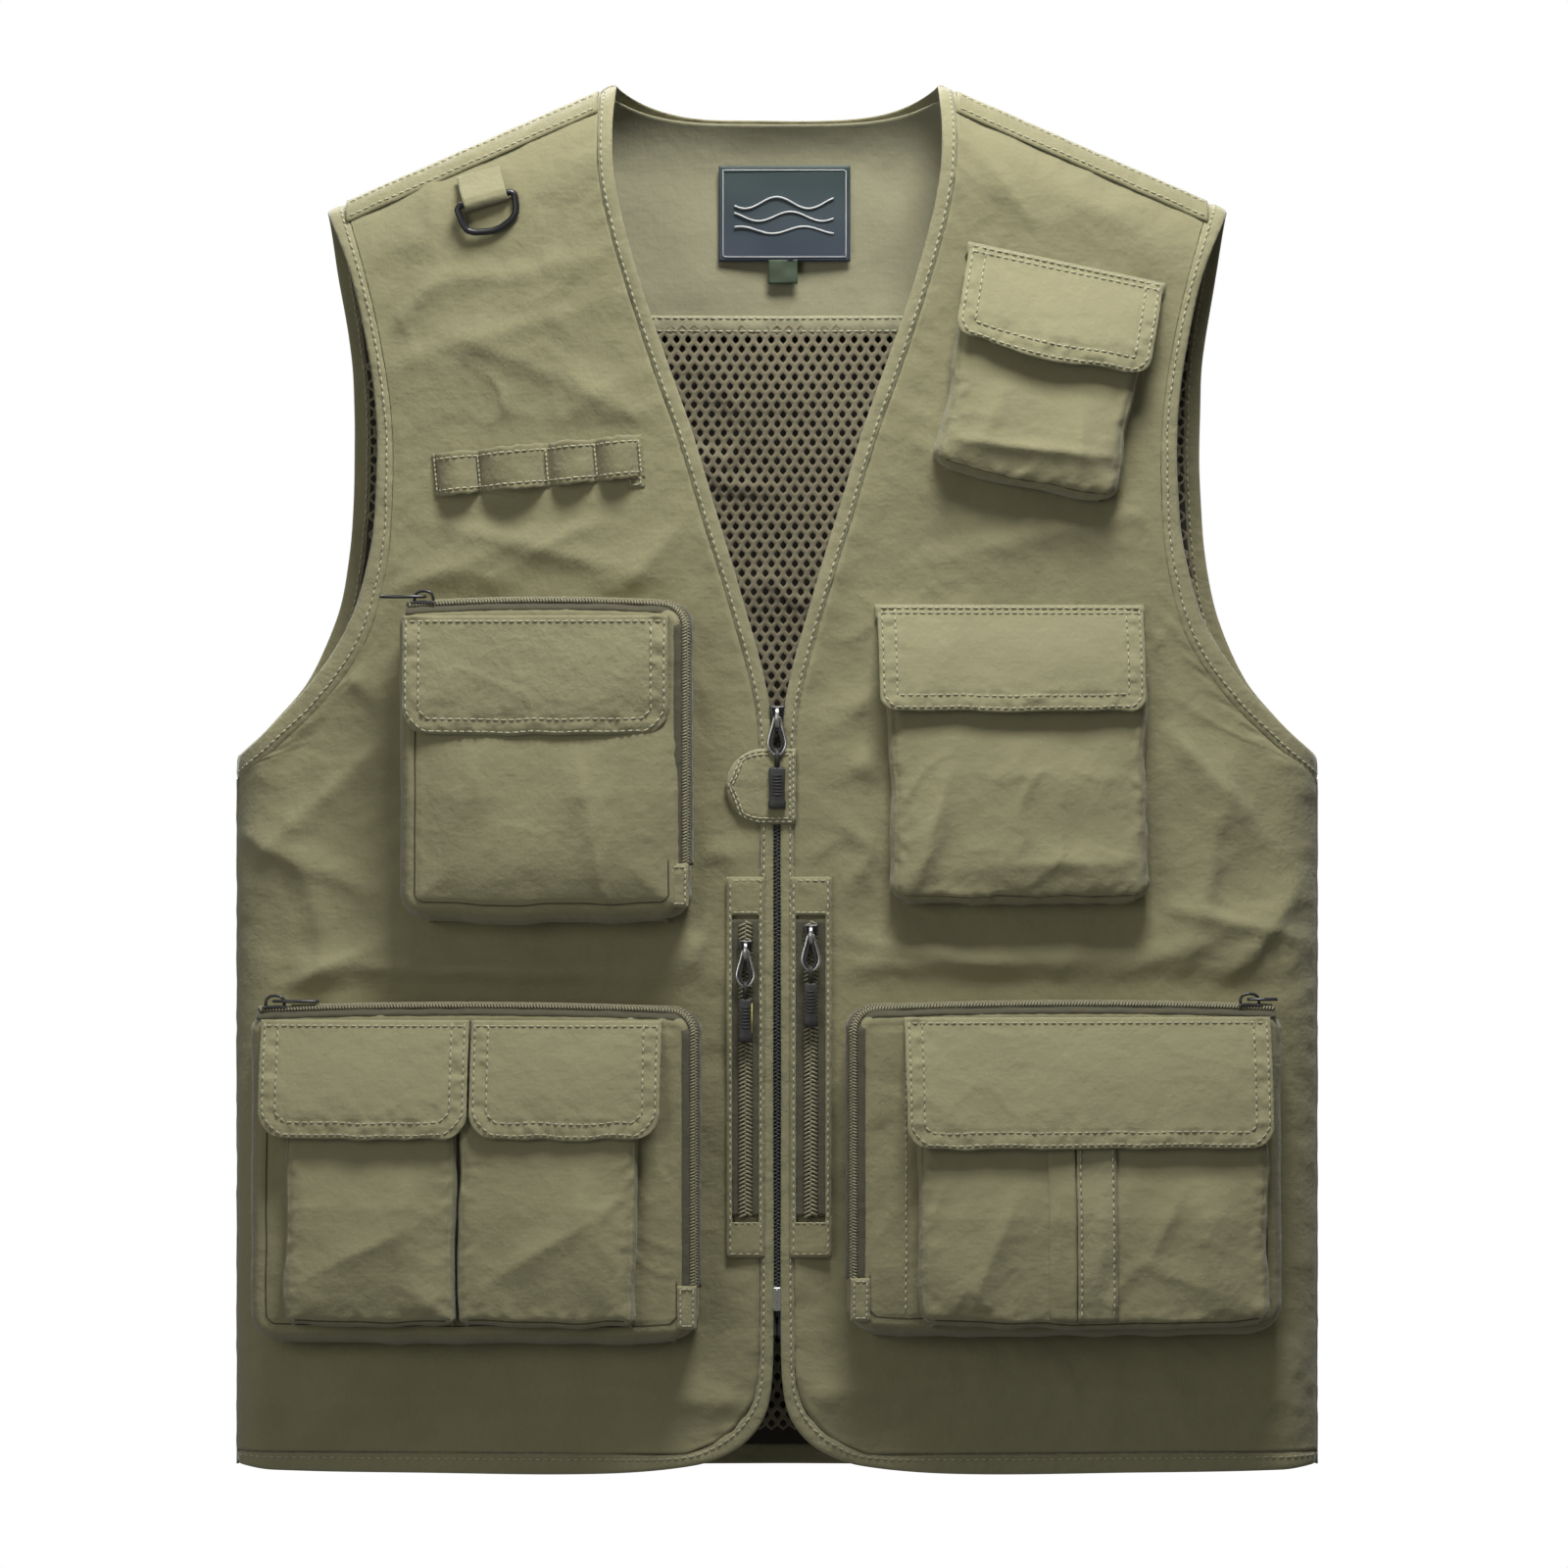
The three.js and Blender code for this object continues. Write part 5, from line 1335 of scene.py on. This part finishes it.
def build_strap(bag):
    """The strap down the low left patch pocket, stitched on both edges, and the pleat that lies beside it."""
    out = bag.place.out()
    levels = np.linspace(-533, -623.5, 50)
    u, z = np.meshgrid(np.linspace(*span(149.5, 169.5, FACE_V), 12), levels)
    grid = bag.point(u, z) + out * (1.5 + 0.3 * noise(u / 8, z / 9, 361))[..., None]
    strap = thick_sheet("low_strap_left_cloth", grid, BINDING, BINDING_THICK, out)
    dress(strap, "olive_binding", "low_strap_left", cloth=grid)
    for column in (1, 10):
        stitch_row(vest_stitches, grid[:, column] + out * 0.3, out)
    u, z = np.meshgrid(np.linspace(*span(135, 148.6, FACE_V), 10), levels)
    fold = np.linspace(0, 1, 10)[None] ** 0.7
    grid = bag.point(u, z) + out * (0.4 + 2.1 * fold + 0.4 * noise(u / 9, z / 12, 365))[..., None]
    pleat = thick_sheet("low_pleat_left_cloth", grid, SHELL, 0.7, out)
    dress(pleat, "olive_fabric", cloth=grid)


def build_pockets():
    build_box("mid_pocket_right", -1, -190.5, -46, -423.5, -266.5, 1, 301, MID_FOLDS, -1, 22, 7.5, 95)
    build_box("low_pocket_right", -1, -266, -42, -636, -471, 1, 311, LOW_RIGHT_FOLDS, 1, 22, 1.5, 60)
    low_left = build_box("low_pocket_left", 1, 38.5, 255, -632, -470, -1, 321, LOW_LEFT_FOLDS, 1, 14, 1.5, 60)
    stitch_on(low_left, [(62, -480), (62, -622)])
    right, left = Place(-1), Place(1)
    build_flap("mid_flap_right", right, *span(-188.5, -55, FACE_V), -270.5, 60, FACE_V, 0.03, 12, 0.5, seed=401,
               rows_in=(1.6, 8.2))
    pairs = (("outer", -247, -161.5, -260.5, -155, 331), ("inner", -159, -71, -154, -58, 341))
    for word, x0, x1, flap_x0, flap_x1, seed in pairs:
        middle = (x0 + x1) / 2
        folds = [(middle, -590, 30, 7, 0.3 + seed / 100, 2.0), (middle + 20, -560, 35, 6, 1.5, 1.8)]
        build_tray(f"low_patch_{word}_right", right, *span(x0, x1, FACE_V), -627, -519, FACE_V, 7, 14, seed,
                   folds, radius=2.2, waist=0.6, corner_foot=3.0, sag=1.0)
        build_flap(f"low_flap_{word}_right", right, *span(flap_x0, flap_x1, FACE_V), -474.5, 61, FACE_V, 0.2,
                   13, seed=seed + 80)
    folds = [(105, -590, 40, 8, 1.2, 2.4), (215, -585, 40, 8, 1.8, 2.4), (160, -560, 50, 7, 1.57, 2.0)]
    left_patch = build_tray("low_patch_left", left, *span(71.5, 246.5, FACE_V), -627, -524, FACE_V, 9, 16, 351,
                            folds, radius=3.0, waist=0.8, corner_foot=6.0, sag=1.5)
    build_flap("low_flap_left", left, *span(64, 249, FACE_V), -473, 68, FACE_V, 0.24, 11, seed=441)
    build_strap(left_patch)
    build_tray("mid_pocket_left", left, *span(56, 187, SKIN), -413.5, -300, SKIN, 8, 18, 361,
               folds=[(75, -380, 30, 6, 1.3, 3.0), (150, -395, 50, 7, 0.05, 2.0), (120, -350, 50, 9, 1.6, 2.0)])
    build_flap("mid_flap_left", left, *span(50.5, 185.5, SKIN), -266, 55, SKIN, 0.3, 8, seed=461)
    build_strip("mid_left_strip", left, *span(49.5, 186, SKIN), -264.5, 9, SKIN, 471)
    chest = Place(1, along_at(96.5, SKIN), -82, 0.203)
    build_tray("chest_pocket", chest, 4, 99, -113, -34, SKIN, 8, 15, 371,
               folds=[(50, -95, 45, 4, 0.1, 3.0), (30, -70, 30, 6, 1.4, 1.6), (75, -75, 30, 6, 1.7, 1.6)])
    build_flap("chest_flap", chest, 1, 102, 0, 49, SKIN, 0.32, 8, 4, seed=481)
    build_strip("chest_strip", chest, 0, 103, 1.5, 8, SKIN, 491)


# ---------------------------------------------------------------- centre front
FRONT_Y = -(DEPTH - TILT * RIDGE)
ZIP_TOP, COIL_TOP, ZIP_FOOT = -316, -328, -610


def build_main_zip():
    z = np.linspace(ZIP_TOP, -636, 130)
    for word, side in SIDES.items():
        path = np.stack([np.full_like(z, side * 6.2), np.full_like(z, FRONT_Y + 1.0), z], -1)
        ribbon(f"main_zip_tape_{word}", path, (0, -1, 0), 5.6, BLACK_TAPE, f"main_zip_{word}", 17 + side)
    path = np.stack([np.zeros(100), np.full(100, FRONT_Y - 0.4), np.linspace(COIL_TOP, ZIP_FOOT, 100)], -1)
    coil("main_zip_coil", path, (0, -1, 0), 1.7, BLACK_COIL, pitch=1.9, radius=0.55)
    box = Fitting((0, FRONT_Y - 0.6, (-622 + ZIP_FOOT) / 2), (1, 0, 0), (0, 1, 0), (0, 0, 1))
    box.block(-2, 2, -1.2, 1.2, -6, 5.9, bevel=0.5)
    box.block(-0.5, 0.5, -1.45, 0, -5, 5, bevel=0.2)
    box.make("main_zip_box_metal", NICKEL, "nickel", "main_zip_box", smooth=False)
    build_upright_zip("main", 3.9, 12)
    # The padded tab behind the pull.
    t, a = np.meshgrid(np.linspace(0, 1, 26), np.linspace(-1, 1, 24))
    half = 19.2 * np.where(t < 0.55, np.sqrt(np.clip(1 - ((0.55 - t) / 0.55) ** 2, 0.02, 1)), 1)
    x = -26 + 35.5 * t
    zz = -356.7 + half * a
    gap = np.minimum(half * (1 - np.abs(a)), 35.5 * (1 - t) + 2)
    groove = 0.4 * np.exp(-((gap - 2.6) / 0.9) ** 2)
    out = 1.9 * np.clip(gap / 3, 0, 1) ** 0.6 + 0.35 * noise(x / 8, zz / 8, 501) - groove
    grid = np.stack([x, FRONT_Y - 1.9 - out, zz], -1)
    tab = thick_sheet("zip_tab_cloth", grid, BINDING, BINDING_THICK, (0, -1, 0))
    dress(tab, "olive_binding", "zip_tab", cloth=grid)
    n, m = grid.shape[:2]
    for inset in (1.3, 3.0):
        i = inset / 38 * (n - 1)
        j = inset / 35 * (m - 1)
        corners = [(i, m - 1 - j), (i, j + 4), (n / 2, j), (n - 1 - i, j + 4), (n - 1 - i, m - 1 - j),
                   (i, m - 1 - j)]
        route = resampled(np.array(corners, float), 0.5)
        stitch_row(vest_stitches, sample(grid, route[:, 0], route[:, 1]), (0, -1, 0), 3.2)


WELT_TOP, WELT_FOOT = -402.5, -595


def build_side_zips():
    for name, x0, x1 in (("side_zip_left", 6.5, 27.5), ("side_zip_right", -25.5, -6.5)):
        word = name.split("_")[-1]
        nearest = min(abs(x0), abs(x1))
        back = SKIN - (DEPTH - TILT * math.hypot(nearest, RIDGE)) - 0.2
        middle = (x0 + x1) / 2
        z = np.linspace(-424, -574, 90)
        path = np.stack([np.full_like(z, middle), np.full_like(z, back - 1.0), z], -1)
        ribbon(f"{name}_tape", path, (0, -1, 0), (x1 - x0) / 2 - 2.6, TAPE, name, middle)
        coil_path = path + np.array([0, -0.6, 0])
        coil(f"{name}_coil", coil_path, (0, -1, 0), 3.1, COIL, pitch=2.1, radius=0.72, chevron=1.7)
        # The welt is one ring of cloth: sides beside the zip, and patches above and below it.
        width = x1 - x0
        uu, zz = np.meshgrid(x0 + width * np.linspace(0, 1, 15), np.linspace(WELT_TOP, WELT_FOOT, 130))
        gap = np.minimum(np.minimum(uu - x0, x1 - uu), np.minimum(zz - WELT_FOOT, WELT_TOP - zz))
        hole = (np.abs(uu - middle) < width / 2 - 3.6) & (zz < -422) & (zz > -576)
        dips = 0.3 * np.exp(-((gap - 1.8) / 0.8) ** 2) + 0.8 * np.exp(-gap ** 2)
        out = 1.3 + 0.25 * noise(uu / 6, zz / 9, 511 + x0) - dips
        grid = np.stack([uu, back - out, zz], -1)
        made = holed_sheet(f"side_zip_welt_{word}_cloth", grid, hole, SHELL, 0.9)
        dress(made, "olive_fabric", f"side_zip_welt_{word}")
        route = resampled(frame_route(x0, x1, WELT_FOOT, WELT_TOP, 1.8), 1.0)
        stitches_at = np.stack([route[:, 0], np.full(len(route), back - 1.2), route[:, 1]], -1)
        stitch_row(vest_stitches, stitches_at, (0, -1, 0))
        for level in (-420.5, -577.5):
            xs = np.linspace(x0 + 2, x1 - 2, 12)
            stitches_at = np.stack([xs, np.full(12, back - 1.4), np.full(12, level)], -1)
            stitch_row(vest_stitches, stitches_at, (0, -1, 0), 3.2)
        build_upright_zip(name, 3.9, 11, PIPING if word == "right" else None)


def holed_sheet(name, grid, hole, material, thickness):
    """A thick sheet without the quads where hole is set."""
    rows, cols = grid.shape[:2]
    quads = grid_faces(rows, cols).reshape(rows - 1, cols - 1, 4)
    keep = ~(hole[:-1, :-1] | hole[1:, 1:] | hole[:-1, 1:] | hole[1:, :-1])
    made = make_object(name, grid.reshape(-1, 3), quads[keep], material)
    work = bmesh.new()
    work.from_mesh(made.data)
    bmesh.ops.delete(work, geom=[v for v in work.verts if not v.link_faces], context="VERTS")
    bmesh.ops.recalc_face_normals(work, faces=work.faces)
    work.to_mesh(made.data)
    work.free()
    thick = made.modifiers.new("cloth", "SOLIDIFY")
    thick.thickness = thickness * MM
    thick.offset = 0
    return made


# ---------------------------------------------------------------- loops, ring and labels
def build_tool_loops():
    place = Place(-1, along_at(-175, SKIN), -188, -0.09)
    loops = [(2, 22, 7.5), (24.5, 56, 10), (60, 81.5, 7), (84.5, 104, 7)]
    u = np.linspace(0, 107, 130)
    rise = np.full_like(u, 0.6)
    for a, b, height in loops:
        inside = (u > a) & (u < b)
        t = (u[inside] - a) / (b - a)
        rise[inside] = 0.6 + height * np.sin(t * math.pi) ** 0.55
    t = np.linspace(0, 1, 14)
    uu, tt = np.meshgrid(u, t)
    ragged = 0.5 * noise(uu / 3, tt * 2, 521)
    grooves = sum(0.5 * np.exp(-((tt - at) / 0.05) ** 2) for at in (0.12, 0.88))
    out = rise[None] + 0.4 * noise(uu / 8, tt * 3, 522) - grooves
    grid = place(uu, SKIN - out, -22 * tt + ragged * (np.abs(tt - 0.5) > 0.42))
    made = thick_sheet("tool_loops_cloth", grid, GUSSET_SHADE, 1.1, place.out())
    dress(made, "olive_gusset", "tool_loops", cloth=grid)
    n, m = grid.shape[:2]
    for row in (1.8, n - 2.8):
        fj = np.linspace(1, m - 2, 220)
        stitch_row(vest_stitches, sample(grid, np.full(220, row), fj), place.out())
    for at in (1.0, 23.2, 58, 83, 105.6):
        zs = np.linspace(-2, -20, 14)
        stitch_row(vest_stitches, place(np.full(14, at), SKIN - 1.6, zs), place.out(), 2.4, 2.0)
    build_patch("tool_loop_tail", place, 98, 106.5, -27, -20, SKIN - 0.4, 531, GUSSET_SHADE)


def build_ring():
    joint_place = hinge_of("d_ring_hinge")
    angle = 0.27
    c, s = math.cos(angle), math.sin(angle)
    ring = Fitting(joint_place, (c, 0, s), (0, 1, 0), (-s, 0, c))
    path = np.array([[-13.3, 0, 0], [-6, 0, 0], [0, 0, 0], [6, 0, 0], [13.3, 0, 0], [14.9, 0, -1.6],
                     [14.8, 0, -4], [14.2, 0, -8], [13, 0, -11.3], [9.5, 0, -14], [4, 0, -16.2], [0, 0, -16.7],
                     [-4, 0, -16.2], [-9.5, 0, -15], [-13, 0, -13], [-14.4, 0, -8], [-14.8, 0, -4],
                     [-14.9, 0, -1.6]])
    ring.wire(resampled(np.vstack([path, path[:1]]), 1.2)[:-1], 1.75, closed=True, sides=12)
    ring.make("d_ring_metal", BLACK_METAL, "black_metal", "d_ring", body="d_ring")
    # A strip from the shoulder seam comes down, folds round the bar and runs back up behind itself.
    local = np.array([[9.0, 15.0], [5.4, 10.5], [0.6, 6.2], [-3.1, 2.4], [-3.6, -0.6], [-2.4, -3.0],
                      [0.2, -3.8], [2.8, -3.0], [3.6, -0.6], [3.9, 2.4], [6.8, 8.4], [9.6, 12.8]])
    section_line = resampled(local, 0.9)
    w = np.linspace(-11.3, 11.3, 18)
    ww, k = np.meshgrid(w, np.arange(len(section_line)))
    local_y = section_line[k, 0] + 0.25 * noise(ww / 5, k / 6, 541)
    local_z = section_line[k, 1]
    grid = joint_place + np.stack([ww, local_y, local_z], -1) @ ring.axes
    made = thick_sheet("d_ring_strip", grid, BINDING, BINDING_THICK, (0, -1, 0))
    dress(made, "olive_binding", "d_ring_loop", cloth=grid)


def build_labels():
    label_y, label_x, label_z = 34.8, (-30, 37.5), (-87, -38)
    x, z = np.meshgrid(np.linspace(*label_x, 60), np.linspace(*label_z[::-1], 44))
    curl = 0.5 * noise(x / 22, z / 18, 551) + 0.8 * ((z + 62) / 25) ** 2 * 0.3
    grid = np.stack([x, label_y - 0.9 - curl, z], -1)
    look = label_material("label_satin", (0.020, 0.045, 0.040), (0.018, 0.030, 0.055), -0.087, -0.038)
    label = thick_sheet("label_cloth", grid, look, 0.5, (0, -1, 0))
    dress(label, "label_cloth", "label", cloth=grid)
    # A woven frame and three wave lines.
    heap = Heap()
    route = resampled(frame_route(*label_x, *label_z, 2.2)[::-1], 2.0)[:-1]
    frame_line = np.stack([route[:, 0], np.full(len(route), label_y - 1.7), route[:, 1]], -1)
    heap.add(*tube(frame_line, 0.28, 5, closed=True))
    xs = np.linspace(-22, 29, 60)
    for level, size in ((-57, 3.0), (-64, 2.4), (-71, 1.8)):
        wave = level + size * np.sin((xs + level) / 5.2)
        heap.add(*tube(np.stack([xs, np.full(60, label_y - 1.75), wave], -1), 0.5, 5))
    thread = cloth_material("label_thread", (0.55, 0.56, 0.54), pitch=0.3, crinkle=0.2)
    drawing = heap.make("label_weave", thread)
    dress(drawing, "label_cloth")
    x, z = np.meshgrid(np.linspace(-4.5, 10.5, 16), np.linspace(-86.2, -98.5, 14))
    grid = np.stack([x, label_y - 1.0 - 0.4 * noise(x / 6, z / 6, 561), z], -1)
    look = label_material("size_tab_satin", (0.035, 0.060, 0.024), (0.030, 0.052, 0.022), -0.0985, -0.086)
    tab = thick_sheet("size_tab_cloth", grid, look, 0.5, (0, -1, 0))
    dress(tab, "tab_cloth", "size_tab", cloth=grid)


def build_shoulders():
    """The yoke's cloth comes a little way over each shoulder, sewn to the front with two rows of stitches."""
    for word, side in SIDES.items():
        x = np.linspace(90.5, 217, 90)
        t = np.linspace(0, 1, 12)
        xx, tt = np.meshgrid(x, t)
        zz = shoulder_z(xx) - 11.5 * tt - 0.4
        puck = 0.5 * noise(xx / 5.5, tt * 1.6, 571 + side) * np.sin(tt * math.pi)
        out = CLOTH + 1.0 + 1.2 * np.sin(np.clip(tt, 0, 1) * math.pi) ** 0.5 + puck
        grid = on_form(side * xx, zz, out, FRONT)
        made = thick_sheet(f"shoulder_turn_{word}", grid, SHELL, SHELL_THICK, (0, -1, 0.3))
        dress(made, "olive_fabric", cloth=grid)
        n = grid.shape[0]
        for row in (0.25, 0.85):
            points = sample(grid, np.full(80, row * (n - 1)), np.linspace(0.5, grid.shape[1] - 1.5, 80))
            stitch_row(vest_stitches, points, (0, -0.9, 0.4))


for word in SIDES:
    build_front(word)
build_bindings()
build_back()
build_side_seams()
build_yoke()
build_mesh_lining()
build_shoulders()
build_main_zip()
build_side_zips()
build_pockets()
build_tool_loops()
build_ring()
build_labels()
stitches = vest_stitches.make("vest_stitches", THREAD)
dress(stitches, "olive_fabric")


# ---------------------------------------------------------------- studio
# Square lights that all face the vest: place, side and power.
LIGHTS = {
    "key": ((0.16, -0.62, 0.86), 0.42, 20),
    "fill": ((-1.5, -2.2, 0.0), 1.2, 13),
    "top": ((-0.2, -0.30, 0.9), 0.5, 3),
    "back": ((-0.5, 1.5, 1.3), 0.8, 60),
    "back_fill": ((1.3, 2.2, 0.1), 1.2, 16),
}
FLOOR_DROP = 0.55  # how far the vest's lowest point hangs above the floor


def build_studio():
    world = bpy.data.worlds.new("studio")
    bpy.context.scene.world = world
    world.use_nodes = True
    world.node_tree.nodes["Background"].inputs["Color"].default_value = (1, 1, 1, 1)
    # The world is white to the eye and dim as a light, so that folds keep their shade.
    nodes, links = world.node_tree.nodes, world.node_tree.links
    seen = nodes.new("ShaderNodeLightPath")
    strength = nodes.new("ShaderNodeMapRange")
    strength.inputs["To Min"].default_value = 0.15
    strength.inputs["To Max"].default_value = 1.0
    links.new(seen.outputs["Is Camera Ray"], strength.inputs["Value"])
    links.new(strength.outputs["Result"], nodes["Background"].inputs["Strength"])
    floor_mesh = bpy.data.meshes.new("floor")
    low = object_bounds()[0].z - FLOOR_DROP
    size, cells = 3.0, 12
    edge = np.linspace(-size, size, cells + 1)
    points = [(x, y, low) for y in edge for x in edge]
    floor_mesh.from_pydata(points, [], grid_faces(cells + 1, cells + 1).tolist())
    floor_mesh.shade_smooth()
    paper, nodes, links = new_material("pale_paper")
    nodes["Principled BSDF"].inputs["Roughness"].default_value = 0.9
    place = nodes.new("ShaderNodeTexCoord").outputs["Object"]
    mottle = noise_node(nodes, links, place, 180)
    pale = ramp_between(nodes, links, mottle, (0.86, 0.86, 0.86), (0.90, 0.90, 0.90))
    links.new(pale, nodes["Principled BSDF"].inputs["Base Color"])
    links.new(pale, nodes["Principled BSDF"].inputs["Emission Color"])
    nodes["Principled BSDF"].inputs["Emission Strength"].default_value = 0.65
    floor_mesh.materials.append(paper)
    floor = put("floor", floor_mesh)
    floor.visible_diffuse = False  # the floor looks pale without lighting the cloth from below
    floor.visible_glossy = False
    centre = np.array([0.0035, 0.0, -0.3555])
    for name, (place, size, energy) in LIGHTS.items():
        light = bpy.data.lights.new(name, "AREA")
        light.shape = "SQUARE"
        light.size = size
        light.energy = energy
        lamp = put(name, light)
        lamp.location = place
        direction = centre + np.array([0, 0, 0.1]) - np.array(place)
        lamp.rotation_euler = Vector(direction).to_track_quat("-Z", "Y").to_euler()
    data = bpy.data.cameras.new("camera")
    data.sensor_width = 36
    data.lens = 225
    data.clip_end = 50
    camera = put("camera", data)
    camera.location = (centre[0], -5.0, centre[2])
    camera.rotation_euler = (math.pi / 2, 0, 0)
    bpy.context.scene.camera = camera


build_studio()
bpy.context.scene.view_settings.view_transform = "Standard"
